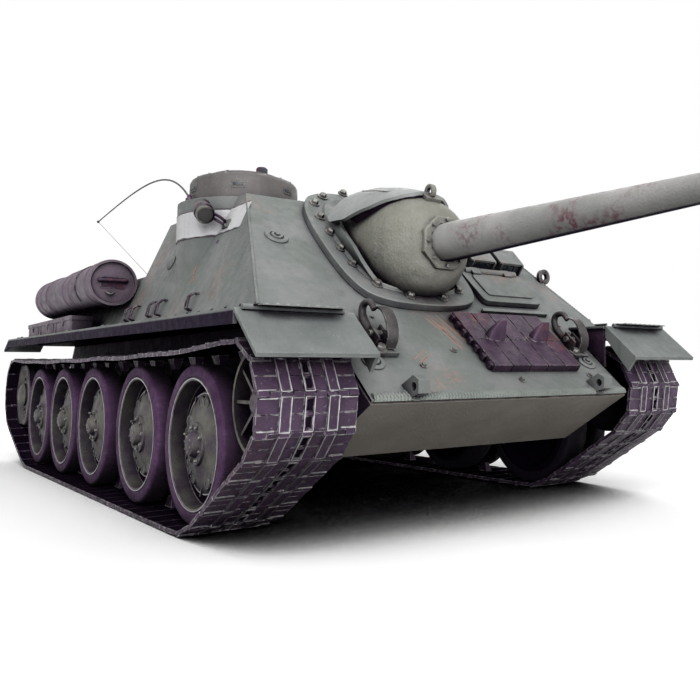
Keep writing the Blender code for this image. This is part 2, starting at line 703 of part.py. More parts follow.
def make_mantlet(material):
    centre = (GUN_X, GUN_Y, GUN_Z)
    shell = turned(mantlet_profile(0.0), centre, "Y", 24)
    flange = turned([(-MANTLET_NOSE + 2.0, 0.0), (-MANTLET_NOSE + 2.0, BARREL_ROOT_R + 3.4),
                     (-MANTLET_NOSE - 2.4, BARREL_ROOT_R + 3.4), (-MANTLET_NOSE - 2.4, 0.0)],
                    centre, "Y", 8, math.pi / 8.0)
    join(shell, flange, make_hood())
    inner = MANTLET_R - MANTLET_WALL
    room = turned([(26.0, 0.0), (26.0, 13.0), (13.0, 13.0), (8.0, inner - 1.5), (0.0, inner),
                   (-13.0, inner), (-21.0, inner - 4.0), (-21.0, 0.0)], centre, "Y", 20)
    cut(shell, room)
    cut(shell, turned([(0.0, 0.0), (0.0, BARREL_ROOT_R + GAP), (-50.0, BARREL_ROOT_R + GAP),
                       (-50.0, 0.0)], centre, "Y", 20))
    cut(shell, box((GUN_X - 7.0, GUN_Y - 8.5, GUN_Z - 26.0), (GUN_X + 7.0, GUN_Y + 24.0, GUN_Z - 4.0)))
    finish(shell, "mantlet", material, centre)


def make_hood():
    """Curved cover over the top of the mantlet."""
    stations = ((9.5, HOOD_R, HOOD_R - HOOD_THICK), (-4.0, HOOD_R - 2.0, HOOD_R - 3.9),
                (-15.0, MANTLET_R + 2.0, MANTLET_R - 2.5))
    count = 9
    vertices, faces = [], []
    for y, outer, inner in stations:
        for radius in (outer, inner):
            for i in range(count):
                turn = math.radians(HOOD_SPREAD * (2.0 * i / (count - 1) - 1.0))
                vertices.append((GUN_X + radius * math.sin(turn), GUN_Y + y,
                                 GUN_Z + radius * math.cos(turn)))

    def at(station, layer, i):
        return (2 * station + layer) * count + i

    for i in range(count - 1):
        for s in range(len(stations) - 1):
            for layer in (0, 1):
                faces.append((at(s, layer, i), at(s, layer, i + 1),
                              at(s + 1, layer, i + 1), at(s + 1, layer, i)))
        for s in (0, len(stations) - 1):
            faces.append((at(s, 0, i), at(s, 0, i + 1), at(s, 1, i + 1), at(s, 1, i)))
    for i in (0, count - 1):
        for s in range(len(stations) - 1):
            faces.append((at(s, 0, i), at(s + 1, 0, i), at(s + 1, 1, i), at(s, 1, i)))
    return solid(vertices, faces)


def make_barrel(material):
    centre = (GUN_X, 0.0, GUN_Z)
    profile = [(GUN_Y - 20.0, 0.0), (GUN_Y - 20.0, BARREL_ROOT_R),
               (GUN_Y - MANTLET_NOSE - RECOIL, BARREL_ROOT_R),
               (BARREL_TAPER_END_Y, BARREL_R), (MUZZLE_Y + 12.0, BARREL_R),
               (MUZZLE_Y + 12.0, BARREL_R + 0.5), (MUZZLE_Y, BARREL_R + 0.5),
               (MUZZLE_Y, MUZZLE_BORE_R), (MUZZLE_Y + 40.0, MUZZLE_BORE_R),
               (MUZZLE_Y + 40.0, 0.0)]
    finish(turned(profile, centre, "Y", 18), "gun_barrel", material, (GUN_X, GUN_Y, GUN_Z))


def make_cradle(cradle_paint, servo_paint):
    reach = MANTLET_R - MANTLET_WALL - 1.2
    head = box((GUN_X - 9.0, GUN_Y - 8.0, GUN_Z - 6.0), (GUN_X + 9.0, GUN_Y + 8.0, GUN_Z + 6.0))
    pin = rod((GUN_X - reach, GUN_Y, GUN_Z), (GUN_X + reach, GUN_Y, GUN_Z), 2.5, 12)
    post = turned([(GUN_Z - 2.0, 0.0), (GUN_Z - 2.0, 4.0), (PEDESTAL_Z + GAP, 4.0),
                   (PEDESTAL_Z + GAP, 3.0), (PEDESTAL_Z - 12.0, 3.0), (PEDESTAL_Z - 12.0, 0.0)],
                  (GUN_X, GUN_Y, 0.0), "Z", 14)
    join(head, pin, post)
    finish(head, "gun_cradle", cradle_paint, (GUN_X, GUN_Y, GUN_Z))
    servo = box((GUN_X - 6.0, GUN_Y + 4.0 + GAP, 66.0), (GUN_X + 6.0, GUN_Y + 26.0, 76.0))
    finish(servo, "elevation_servo", servo_paint)


# ======================================================================
# Roof and front fittings
# ======================================================================
def make_cupola(material):
    low = ROOF_Z + GAP
    profile = [(low, CUPOLA_LID_R - 1.0), (low, CUPOLA_R), (CUPOLA_Z - 2.5, CUPOLA_R),
               (CUPOLA_Z, CUPOLA_R - 2.5), (CUPOLA_Z, CUPOLA_LID_R - 1.0)]
    ring = turned(profile, (CUPOLA_X, CUPOLA_Y, 0.0), "Z", 28)
    join(ring, box((CUPOLA_X + 4.0, CUPOLA_Y - CUPOLA_R + 2.5, CUPOLA_Z - 1.0),
                   (CUPOLA_X + 10.0, CUPOLA_Y - CUPOLA_R + 6.5, CUPOLA_Z + 3.2)))
    finish(ring, "cupola", material)
    base = CUPOLA_Z + GAP
    lid = turned([(base, 0.0), (base, CUPOLA_LID_R), (base + 1.6, CUPOLA_LID_R - 0.6),
                  (base + 2.2, 0.0)], (CUPOLA_X, CUPOLA_Y, 0.0), "Z", 24)
    join(lid, box((CUPOLA_X - 5.0, CUPOLA_Y + CUPOLA_LID_R - 2.0, base),
                  (CUPOLA_X + 5.0, CUPOLA_Y + CUPOLA_LID_R + 1.5, base + 1.6)))
    finish(lid, "cupola_hatch", material, (CUPOLA_X, CUPOLA_Y + CUPOLA_LID_R + 1.5, base + 0.4))


def make_loader_hatch(material):
    base = ROOF_Z + GAP
    lid = box((LOADER_X - LOADER_HALF, LOADER_Y - LOADER_HALF, base),
              (LOADER_X + LOADER_HALF, LOADER_Y + LOADER_HALF, base + 2.0))
    join(lid, rod((LOADER_X - 10.0, LOADER_Y - LOADER_HALF, base + 1.5),
                  (LOADER_X + 10.0, LOADER_Y - LOADER_HALF, base + 1.5), 1.5, 8))
    finish(lid, "loader_hatch", material, (LOADER_X, LOADER_Y - LOADER_HALF, base + 1.5))


def make_driver_hatch(material, glass):
    lid = glacis_block(driver_hatch_outline(0.0), GAP, 3.4)
    top = up_slope(HATCH_HIGH_Y)
    start, end = on_glacis(22.0, top, 2.6), on_glacis(51.0, top, 2.6)
    join(lid, rod(start, end, 1.7, 8))
    finish(lid, "driver_hatch", material, on_glacis(36.5, top, 2.6))
    low, high = up_slope(-172.4), up_slope(-163.5)
    scopes = glacis_block([(27.0, low), (57.0, low), (60.0, high), (30.0, high)], GAP, 6.5)
    finish(scopes, "driver_periscopes", glass)


def make_mudguard(side, name, material):
    top = [(FENDER_FRONT_Y - GAP, FENDER_FRONT_Z), (LIP_Y, LIP_Z)]
    low = [(y + 0.4, z - FENDER_THICK) for y, z in reversed(top)]
    low[-1] = (FENDER_FRONT_Y - GAP, FENDER_FRONT_Z - FENDER_THICK)
    inner = HULL_HALF + 0.2
    plate = prism(top + low, *sorted((side * inner, side * FENDER_HALF)))
    cheek = [(FENDER_FRONT_Y - GAP, FENDER_FRONT_Z), (LIP_Y, LIP_Z),
             (LIP_Y + 4.0, LIP_Z - 5.5), (FENDER_FRONT_Y - GAP, FENDER_FRONT_Z - 5.0)]
    join(plate, prism(cheek, *sorted((side * inner, side * (inner + 1.2)))))
    hinge_y, hinge_z = FENDER_FRONT_Y - GAP - HINGE_R, FENDER_FRONT_Z + 0.2
    join(plate, rod((side * (inner + 4.0), hinge_y, hinge_z),
                    (side * (FENDER_HALF - 2.0), hinge_y, hinge_z), HINGE_R, 8))
    finish(plate, name, material, (side * (inner + FENDER_HALF) / 2.0, hinge_y, hinge_z))


def make_spare_track(material):
    low, high = up_slope(SPARE_LOW_Y), up_slope(SPARE_HIGH_Y)
    plate = glacis_block([(SPARE_RIGHT_X, low), (SPARE_LEFT_X, low), (SPARE_LEFT_X, high),
                          (SPARE_RIGHT_X, high)], GAP, 3.2)
    middle = (low + high) / 2.0
    for x in (SPARE_RIGHT_X + 11.1, SPARE_LEFT_X - 11.0):
        horn = loft([on_glacis(x + a, middle + b, 2.6) for a, b in
                     ((-2.2, -5.0), (2.2, -5.0), (2.2, 5.0), (-2.2, 5.0))],
                    [on_glacis(x + a, middle + b, 10.0) for a, b in
                     ((-1.0, -2.2), (1.0, -2.2), (1.0, 2.2), (-1.0, 2.2))])
        join(plate, horn)
    finish(plate, "spare_track", material)


def make_tow_hook(x, name, material):
    low, high = up_slope(-217.0), up_slope(-201.0)
    base = glacis_block([(x - 6.0, low), (x + 5.0, low), (x + 5.0, high), (x - 6.0, high)], GAP, 1.8)
    guard = [(-4.0, 1.2), (8.0, 1.2), (12.0, 5.0), (11.0, 9.0), (7.0, 11.5), (3.5, 11.0),
             (8.0, 8.0), (7.5, 5.5), (3.0, 4.0), (-4.0, 4.0)]
    middle = (low + high) / 2.0 - 3.0
    hook = loft([on_glacis(x - 4.0, middle + a, b) for a, b in guard],
                [on_glacis(x - 0.5, middle + a, b) for a, b in guard])
    finish(join(base, hook), name, material)


def make_lamp(material):
    face = (LAMP_X, LAMP_Y, LAMP_Z)
    back = tuple(f - LAMP_LENGTH * a for f, a in zip(face, LAMP_AIM))
    lamp = rod(face, back, LAMP_R, 14)
    neck = tuple(f - 3.0 * a for f, a in zip(face, LAMP_AIM))
    foot_z, knee_z = LAMP_Z - 2.4, LAMP_Z - 0.4
    foot = (-side_x(foot_z, GAP + 0.4), LAMP_Y + 4.0, foot_z)
    knee = (-side_x(knee_z, 3.2), LAMP_Y + 6.5, knee_z)
    join(lamp, rod(neck, knee, 0.9, 8))
    join(lamp, rod(knee, foot, 0.9, 8))
    finish(lamp, "side_lamp", material)


def make_antenna(material):
    reach = (CUPOLA_R + BLISTER_R) / 2.0
    turn = math.radians(ANTENNA_TURN)
    x, y = CUPOLA_X - reach * math.cos(turn), CUPOLA_Y - reach * math.sin(turn)
    low = ROOF_Z + GAP
    pot = turned([(low, 0.0), (low, ANTENNA_POT_R), (low + 1.6, ANTENNA_POT_R), (low + 2.4, 0.0)],
                 (x, y, 0.0), "Z", 12)
    whip = [whip_point(x, y, low + 1.2, (i / WHIP_STEPS) ** 1.6) for i in range(WHIP_STEPS + 1)]
    join(pot, tube_along(whip, WHIP_R))
    tip = whip[-1]
    foot = (TIE_X, TIE_Y, DECK_Z + GAP)
    join(pot, rod((tip[0], tip[1] - 0.3, tip[2]), (foot[0], foot[1], foot[2] + 1.0), TIE_R, 6))
    join(pot, turned([(foot[2], 0.0), (foot[2], 1.5), (foot[2] + 1.6, 1.5), (foot[2] + 1.6, 0.0)],
                     (foot[0], foot[1], 0.0), "Z", 10))
    finish(pot, "antenna", material)


def whip_point(x, y, z, share):
    """Point on the bowed whip: it springs up, then sinks towards its tip."""
    rise = WHIP_RISE * (1.0 - math.exp(-WHIP_SPRING * share)) - WHIP_DROP * share
    return (x + WHIP_SHIFT * share, y + WHIP_REACH * share, z + rise)


# ======================================================================
# Running gear
# ======================================================================
def make_wheel(side, y, name, material):
    inner = WHEEL_FACE - WHEEL_WIDTH
    middle = TRACK_MIDDLE
    rim, hub = WHEEL_R - 5.4, 6.0
    profile = [(WHEEL_FACE - 4.0, 0.0), (WHEEL_FACE - 4.0, AXLE_R + GAP),
               (inner + 0.6, AXLE_R + GAP), (inner + 0.6, hub), (inner + 4.0, hub + 1.0),
               (inner + 4.0, rim - 1.0), (inner, rim), (inner, WHEEL_R),
               (middle - GROOVE_HALF, WHEEL_R), (middle - GROOVE_HALF, rim),
               (middle + GROOVE_HALF, rim), (middle + GROOVE_HALF, WHEEL_R),
               (WHEEL_FACE, WHEEL_R), (WHEEL_FACE, rim), (WHEEL_FACE - 3.4, rim - 1.2),
               (WHEEL_FACE - 4.6 + 2.4, hub + 1.0), (WHEEL_FACE, hub), (WHEEL_FACE + 1.4, 3.0),
               (WHEEL_FACE + 1.6, 0.0)]
    wheel = turned([(side * h, r) for h, r in profile], (0.0, y, WHEEL_Z), "X", 16)
    finish(wheel, name, material, (side * middle, y, WHEEL_Z))


def make_arm(side, y, name, material):
    inner = HULL_HALF + GAP
    outer = inner + ARM_THICK
    pivot = (y - ARM_BACK, WHEEL_Z + ARM_UP)
    angle = math.atan2(-ARM_UP, ARM_BACK)
    outline = []
    for k in range(7):
        turn = angle + math.pi / 2.0 + math.pi * k / 6.0
        outline.append((pivot[0] + 4.0 * math.cos(turn), pivot[1] + 4.0 * math.sin(turn)))
    for k in range(7):
        turn = angle - math.pi / 2.0 + math.pi * k / 6.0
        outline.append((y + 4.5 * math.cos(turn), WHEEL_Z + 4.5 * math.sin(turn)))
    arm = prism(outline, *sorted((side * inner, side * outer)))
    pin = rod((side * (HULL_HALF - WALL - 1.0), *pivot), (side * (inner + 1.0), *pivot), ARM_PIN_R)
    axle = rod((side * (outer - 1.0), y, WHEEL_Z), (side * (WHEEL_FACE - 4.0 - GAP), y, WHEEL_Z),
               AXLE_R)
    finish(join(arm, pin, axle), name, material, (side * inner, *pivot))


def make_idler(side, name, crank_name, wheel_paint, steel):
    middle = TRACK_MIDDLE
    inner, outer = middle - IDLER_IN, middle + IDLER_OUT
    hub = 5.0
    profile = [(outer - 3.0, 0.0), (outer - 3.0, AXLE_R + GAP), (inner, AXLE_R + GAP), (inner, hub),
               (middle - 5.0, hub), (middle - 5.0, IDLER_R - 3.0), (inner, IDLER_R - 2.0),
               (inner, IDLER_R), (middle - GROOVE_HALF, IDLER_R),
               (middle - GROOVE_HALF, IDLER_R - 5.0), (middle + GROOVE_HALF, IDLER_R - 5.0),
               (middle + GROOVE_HALF, IDLER_R), (outer, IDLER_R), (outer, IDLER_R - 1.5),
               (outer - 3.0, IDLER_R - 3.0), (outer - 3.0, hub), (outer + 0.6, hub - 1.0),
               (outer + 0.6, 0.0)]
    idler = turned([(side * h, r) for h, r in profile], (0.0, IDLER_Y, IDLER_Z), "X", 16)
    finish(idler, name, wheel_paint, (side * middle, IDLER_Y, IDLER_Z))
    crank = turned([(side * h, r) for h, r in
                    ((HULL_HALF - 3.5, 0.0), (HULL_HALF - 3.5, 4.0 - GAP), (HULL_HALF + GAP, 4.0 - GAP),
                     (HULL_HALF + GAP, 6.5), (inner - GAP, 6.5), (inner - GAP, AXLE_R),
                     (outer - 3.0 - GAP, AXLE_R), (outer - 3.0 - GAP, 0.0))],
                   (0.0, IDLER_Y, IDLER_Z), "X", 12)
    finish(crank, crank_name, steel)


def make_sprocket(side, name, material):
    middle = TRACK_MIDDLE
    inner, outer = middle - SPROCKET_HALF, middle + SPROCKET_HALF
    profile = [(outer - 2.0, 0.0), (outer - 2.0, AXLE_R + GAP), (inner - 3.0, AXLE_R + GAP),
               (inner - 3.0, 7.0), (inner, 7.0), (inner, SPROCKET_R), (middle - 4.6, SPROCKET_R),
               (middle - 4.6, 9.0), (middle + 4.6, 9.0), (middle + 4.6, SPROCKET_R),
               (outer, SPROCKET_R), (outer, 9.0), (outer + 2.0, 7.0), (outer + 2.0, 0.0)]
    wheel = turned([(side * h, r) for h, r in profile], (0.0, SPROCKET_Y, SPROCKET_Z), "X", 16)
    for k in range(ROLLERS):
        turn = 2.0 * math.pi * k / ROLLERS
        y = SPROCKET_Y + ROLLER_CIRCLE * math.cos(turn)
        z = SPROCKET_Z + ROLLER_CIRCLE * math.sin(turn)
        join(wheel, rod((side * (middle - 5.5), y, z), (side * (middle + 5.5), y, z), ROLLER_R, 8))
    finish(wheel, name, material, (side * middle, SPROCKET_Y, SPROCKET_Z))


def track_path():
    """Inner surface of the track as (y, z, outward y, outward z), once round."""
    wheel_r = WHEEL_R + GAP
    circles = [(WHEEL_STATIONS[0], WHEEL_Z, wheel_r), (WHEEL_STATIONS[-1], WHEEL_Z, wheel_r),
               (SPROCKET_Y, SPROCKET_Z, SPROCKET_R + GAP), (IDLER_Y, IDLER_Z, IDLER_R + GAP)]
    leave = []
    for k, (y, z, r) in enumerate(circles):
        to_y, to_z, to_r = circles[(k + 1) % len(circles)]
        heading = math.atan2(to_z - z, to_y - y)
        leave.append(heading - math.acos((r - to_r) / math.hypot(to_y - y, to_z - z)))
    path = []
    for k, (y, z, r) in enumerate(circles):
        start, end = leave[k - 1], leave[k]
        while end < start:
            end += 2.0 * math.pi
        steps = max(1, math.ceil(math.degrees(end - start) / 20.0))
        for i in range(steps + 1):
            turn = start + (end - start) * i / steps
            path.append((y + r * math.cos(turn), z + r * math.sin(turn),
                         math.cos(turn), math.sin(turn)))
        if k == 2:
            path.extend(top_run(circles[2], circles[3]))
    return path


def top_run(sprocket, idler):
    """Sagging top run between the sprocket and the idler, ends left out."""
    rest = WHEEL_Z + WHEEL_R + TOP_RUN_ROOM
    points, count = [], 14
    for i in range(1, count):
        share = i / count
        high = (sprocket[1] + sprocket[2]) * (1.0 - share) + (idler[1] + idler[2]) * share
        sag = 1.0 - (2.0 * share - 1.0) ** 4
        points.append((sprocket[0] + (idler[0] - sprocket[0]) * share,
                       high + (rest - high) * sag, 0.0, 1.0))
    return points


def make_track(side, name, material):
    path = track_path()
    reach = sorted((side * TRACK_INNER, side * TRACK_OUTER))
    inside = [(y, z) for y, z, _, _ in path]
    outside = [(y + TRACK_THICK * ny, z + TRACK_THICK * nz) for y, z, ny, nz in path]
    count = len(path)
    vertices = []
    for x in reach:
        vertices += [(x, y, z) for y, z in inside] + [(x, y, z) for y, z in outside]
    faces = []
    for i in range(count):
        j = (i + 1) % count
        a, b, c, d = i, j, count + i, count + j
        e, f, g, h = (2 * count + v for v in (a, b, c, d))
        faces += [(a, b, d, c), (e, f, h, g), (a, b, f, e), (c, d, h, g)]
    track = solid(vertices, faces)
    middle = side * TRACK_MIDDLE
    station = WHEEL_STATIONS[0] + 4.0
    while station < WHEEL_STATIONS[-1]:
        join(track, box((middle - HORN_HALF, station, TRACK_THICK - 0.8),
                        (middle + HORN_HALF, station + 5.0, TRACK_THICK + HORN_HEIGHT)))
        station += HORN_PITCH
    finish(track, name, material)


# ======================================================================
# Rear fittings
# ======================================================================
def make_drum(side, name, material):
    rear = DRUM_FRONT_Y + DRUM_LENGTH
    profile = [(DRUM_FRONT_Y + 1.0, 0.0), (DRUM_FRONT_Y + 1.0, DRUM_R - 0.6),
               (DRUM_FRONT_Y, DRUM_R - 0.6), (DRUM_FRONT_Y, DRUM_R), (rear, DRUM_R),
               (rear, DRUM_R - 0.6), (rear - 1.0, DRUM_R - 0.6), (rear - 1.0, 0.0)]
    drum = turned(profile, (side * DRUM_X, 0.0, DRUM_Z), "Y", 20)
    for share in (0.3, 0.72):
        y = DRUM_FRONT_Y + share * DRUM_LENGTH
        foot = [(DRUM_Z - 2.0, side * (DRUM_X - 4.0)), (DRUM_Z - 12.0, side * side_x(81.6, GAP)),
                (DRUM_Z - 2.0, side * side_x(DRUM_Z - 2.0, GAP))]
        join(drum, loft([(x, y - 1.5, z) for z, x in foot], [(x, y + 1.5, z) for z, x in foot]))
    finish(drum, name, material)


def make_toolbox(material):
    rear = BOX_FRONT_Y + BOX_LENGTH
    low = [fender_z(y) + GAP for y in (BOX_FRONT_Y, rear)]
    chest = prism([(BOX_FRONT_Y, low[0]), (rear, low[1]), (rear, BOX_TOP_Z), (BOX_FRONT_Y, BOX_TOP_Z)],
                  -BOX_OUTER, -BOX_INNER)
    finish(chest, "toolbox", material)


def main():
    for old in list(bpy.data.objects):
        bpy.data.objects.remove(old, do_unlink=True)
    green = paint("olive_paint", (0.17, 0.19, 0.14), 0.6)
    dark = paint("dark_steel", (0.08, 0.06, 0.08), 0.5, 0.6)
    rubber = paint("road_wheel_paint", (0.09, 0.09, 0.08), 0.7)
    plastic = paint("black_plastic", (0.03, 0.03, 0.03), 0.5)
    board = paint("board_green", (0.02, 0.18, 0.06), 0.4)

    make_upper_hull(green)
    make_lower_hull(green)
    make_battery(green, plastic)
    make_switch(plastic)
    make_board(board)
    make_engine_deck(green)
    make_rear(green)
    make_gun_mount(green)
    make_mantlet(green)
    make_barrel(green)
    make_cradle(dark, plastic)
    make_cupola(green)
    make_loader_hatch(green)
    make_driver_hatch(green, green)
    make_spare_track(dark)
    make_tow_hook(-HULL_HALF + 15.0, "tow_hook_right", dark)
    make_tow_hook(HULL_HALF - 10.5, "tow_hook_left", dark)
    make_lamp(green)
    make_antenna(dark)
    make_toolbox(green)
    for word, side in SIDES:
        make_mudguard(side, f"mudguard_{word}", green)
        make_drum(side, f"fuel_drum_{word}", green)
        make_gearbox(side, f"gearbox_{word}", plastic)
        make_idler(side, f"idler_{word}", f"idler_axle_{word}", rubber, dark)
        make_sprocket(side, f"sprocket_{word}", dark)
        make_track(side, f"track_{word}", dark)
        for number, y in enumerate(WHEEL_STATIONS, 1):
            make_wheel(side, y, f"road_wheel_{word}_{number}", rubber)
            make_arm(side, y, f"swing_arm_{word}_{number}", dark)

    vehicle = bpy.data.objects.new("vehicle_frame", None)
    bpy.context.scene.collection.objects.link(vehicle)
    vehicle.location.y = -MIDDLE_Y * MM
    for piece in bpy.data.objects:
        if piece.type == "MESH":
            piece.parent = vehicle
            if piece.data.shape_keys is None:
                piece.data.shade_flat()


main()
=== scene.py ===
"""Looks of a remote controlled casemate tank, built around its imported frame.

Sizes are millimetres at the vehicle's own stations, as a maker's drawing gives
them, and Vehicle.metres turns them into the frame's metres. The gun points
along -Y, +Z is up, and the vehicle's right side is -X.
"""

import json
import logging
import math
from collections.abc import Callable, Sequence
from dataclasses import dataclass, field, replace
from enum import Enum

import bmesh
import bpy
import numpy as np
from mathutils import Matrix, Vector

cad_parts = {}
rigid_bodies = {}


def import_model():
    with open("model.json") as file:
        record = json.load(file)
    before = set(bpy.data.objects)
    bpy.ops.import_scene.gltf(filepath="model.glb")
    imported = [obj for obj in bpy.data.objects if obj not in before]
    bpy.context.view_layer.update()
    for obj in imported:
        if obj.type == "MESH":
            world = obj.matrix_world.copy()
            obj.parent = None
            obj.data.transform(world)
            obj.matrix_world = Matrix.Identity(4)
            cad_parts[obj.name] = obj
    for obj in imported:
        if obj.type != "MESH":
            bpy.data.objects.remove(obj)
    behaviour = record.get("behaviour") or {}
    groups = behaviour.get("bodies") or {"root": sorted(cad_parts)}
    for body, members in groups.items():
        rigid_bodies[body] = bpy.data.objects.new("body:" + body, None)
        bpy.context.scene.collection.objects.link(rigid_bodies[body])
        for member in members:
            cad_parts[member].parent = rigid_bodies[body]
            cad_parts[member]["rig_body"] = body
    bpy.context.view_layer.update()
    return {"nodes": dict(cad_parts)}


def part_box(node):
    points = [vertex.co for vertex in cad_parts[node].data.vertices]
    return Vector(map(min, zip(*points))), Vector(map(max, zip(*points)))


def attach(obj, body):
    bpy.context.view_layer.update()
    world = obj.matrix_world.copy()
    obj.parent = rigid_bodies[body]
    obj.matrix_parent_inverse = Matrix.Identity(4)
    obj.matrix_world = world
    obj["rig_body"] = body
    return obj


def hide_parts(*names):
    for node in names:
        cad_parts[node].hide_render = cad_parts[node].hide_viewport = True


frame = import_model()

log = logging.getLogger("tank")
Array = np.ndarray
Colour = tuple[float, float, float]
Point = tuple[float, float, float]
Placer = Callable[[Array, Array, Array], Array]
MM = 0.001


class Side(Enum):
    """The vehicle's two sides, with the sign of their X."""

    RIGHT = -1
    LEFT = 1

    @property
    def word(self) -> str:
        """Name of the side as the frame's nodes spell it."""
        return self.name.lower()


# ======================================================================
# Shapes as whole arrays
# ======================================================================
@dataclass
class Solid:
    """Points in millimetres and faces as index arrays, one array for each corner count."""

    points: Array
    faces: list[Array]

    def moved(self, frames: Array) -> "Solid":
        """Copies of the solid, one for each 4x4 frame, as one solid.

        Args:
            frames: Array of shape (copies, 4, 4).

        Returns:
            Every point times every frame; face indices are raised by whole copies.
        """
        frames = np.asarray(frames, float).reshape(-1, 4, 4)
        points = np.einsum("mij,nj->mni", frames[:, :3, :3], self.points) + frames[:, None, :3, 3]
        step = np.arange(len(frames))[:, None, None] * len(self.points)
        return Solid(points.reshape(-1, 3),
                     [(f[None] + step).reshape(-1, f.shape[1]) for f in self.faces])

    def placed(self, place: Placer) -> "Solid":
        """The solid bent onto a surface: its x and y run on it, and its z stands off it."""
        return Solid(place(*self.points.T), self.faces)


def stacked(solids: Sequence[Solid]) -> Solid:
    """Several solids as one, with the face indices raised by the points before them."""
    starts = np.cumsum([0] + [len(s.points) for s in solids])
    faces = [f + start for s, start in zip(solids, starts) for f in s.faces]
    return Solid(np.concatenate([s.points for s in solids]), faces)


def grid(points: Array, wrap_u: bool = False, wrap_v: bool = False) -> Solid:
    """Quads between the neighbours of a grid of points, closed along the wrapped ways.

    Args:
        points: Array of shape (rows, columns, 3).
        wrap_u: Whether the last row joins the first.
        wrap_v: Whether the last column joins the first.

    Returns:
        The surface as a solid.
    """
    rows, columns = points.shape[:2]
    u, v = np.meshgrid(np.arange(rows if wrap_u else rows - 1),
                       np.arange(columns if wrap_v else columns - 1), indexing="ij")
    u2, v2 = (u + 1) % rows, (v + 1) % columns
    quads = np.stack([u * columns + v, u2 * columns + v, u2 * columns + v2, u * columns + v2], -1)
    return Solid(points.reshape(-1, 3), [quads.reshape(-1, 4)])


def loft(rings: Array) -> Solid:
    """Closed body through rings of points: shape (rings, points of a ring, 3)."""
    shell = grid(rings, wrap_v=True)
    count, last = rings.shape[1], (len(rings) - 1) * rings.shape[1]
    return Solid(shell.points, [shell.faces[0], np.arange(count)[None, ::-1],
                                np.arange(last, last + count)[None]])


def lathe(profile: Sequence[tuple[float, float]] | Array, axis: str = "Z",
          centre: Point = (0.0, 0.0, 0.0), steps: int = 64, loop: bool = False) -> Solid:
    """Surface of revolution: (h, r cos t, r sin t) for t once round, turned to the axis.

    Args:
        profile: (distance along the axis, radius) pairs; ends on the axis are closed later.
        axis: X, Y or Z.
        centre: Point the distances count from.
        steps: Points round the axis.
        loop: Whether the profile's last point joins its first, as in a ring.

    Returns:
        The turned solid.
    """
    h, r = np.asarray(profile, float).T
    t = np.linspace(0.0, 2.0 * np.pi, steps, endpoint=False)
    ring = np.stack([h[:, None] + 0.0 * t, r[:, None] * np.cos(t), r[:, None] * np.sin(t)], -1)
    order = {"X": (0, 1, 2), "Y": (2, 0, 1), "Z": (1, 2, 0)}[axis]
    return grid(ring[..., order] + np.asarray(centre), wrap_u=loop, wrap_v=True)


def slab(outline: Sequence[tuple[float, float]] | Array, low: float, high: float) -> Solid:
    """Flat outline (x, y) raised from low to high, with both ends closed."""
    a = np.asarray(outline, float)
    count = len(a)
    points = np.concatenate([np.column_stack([a, np.full(count, h)]) for h in (low, high)])
    i = np.arange(count)
    j = (i + 1) % count
    return Solid(points, [np.stack([i, j, count + j, count + i], -1),
                          i[None, ::-1], (count + i)[None]])


def block(low: Sequence[float], high: Sequence[float]) -> Solid:
    """Box between two corners."""
    (x0, y0, z0), (x1, y1, z1) = low, high
    return slab([(x0, y0), (x1, y0), (x1, y1), (x0, y1)], z0, z1)


def box_ring(low: float, high: float, inner: float, outer: float) -> list[tuple[float, float]]:
    """Profile of a plain ring: its stations low and high, its radii inner and outer."""
    return [(low, inner), (low, outer), (high, outer), (high, inner)]


def unit(vectors: Array) -> Array:
    """Vectors divided by their lengths."""
    return vectors / np.linalg.norm(vectors, axis=-1, keepdims=True)


def curve_through(points: Sequence[Point], count: int = 24) -> Array:
    """Smooth line through points: the Catmull-Rom cubic of each four neighbours.

    Args:
        points: Points that the line passes through.
        count: Points along the whole line.

    Returns:
        Array of shape (count, 3).
    """
    p = np.asarray(points, float)
    p = np.vstack([2 * p[0] - p[1], p, 2 * p[-1] - p[-2]])
    s = np.linspace(0.0, len(points) - 1.0, count)
    k = np.minimum(s.astype(int), len(points) - 2)
    t = (s - k)[:, None]
    a, b, c, d = (p[k + i] for i in range(4))
    return 0.5 * (2 * b + (c - a) * t + (2 * a - 5 * b + 4 * c - d) * t ** 2
                  + (3 * b - a - 3 * c + d) * t ** 3)


def tube(path: Array, radius: float | Array, steps: int = 12) -> Solid:
    """Round bar along a line: at each point a circle square to the line's slope.

    Args:
        path: Points of the centre line, shape (points, 3).
        radius: One radius, or one for each point.
        steps: Points round the bar.

    Returns:
        The bar with flat ends.
    """
    path = np.asarray(path, float)
    along = unit(np.gradient(path, axis=0))
    least = np.eye(3)[np.argmin(np.abs(along).mean(0))]
    side = unit(np.cross(along, least))
    other = np.cross(along, side)
    t = np.linspace(0.0, 2.0 * np.pi, steps, endpoint=False)[None, :, None]
    size = (np.zeros(len(path)) + radius)[:, None, None]
    rings = path[:, None] + size * (np.cos(t) * side[:, None] + np.sin(t) * other[:, None])
    return loft(rings)


def rod(start: Point, end: Point, radius: float, steps: int = 12) -> Solid:
    """Round bar between two points."""
    return tube(np.array([start, end], float), radius, steps)


def ribbon(path: Array, across: Sequence[float], width: float, thick: float) -> Solid:
    """Flat strip along a line: its section is width along `across` and thick square to it."""
    path = np.asarray(path, float)
    along = unit(np.gradient(path, axis=0))
    wide = unit(np.broadcast_to(np.asarray(across, float), path.shape))
    up = unit(np.cross(wide, along))
    half_w, half_t = wide * width / 2.0, up * thick / 2.0
    rings = np.stack([path - half_w - half_t, path + half_w - half_t,
                      path + half_w + half_t, path - half_w + half_t], 1)
    return loft(rings)


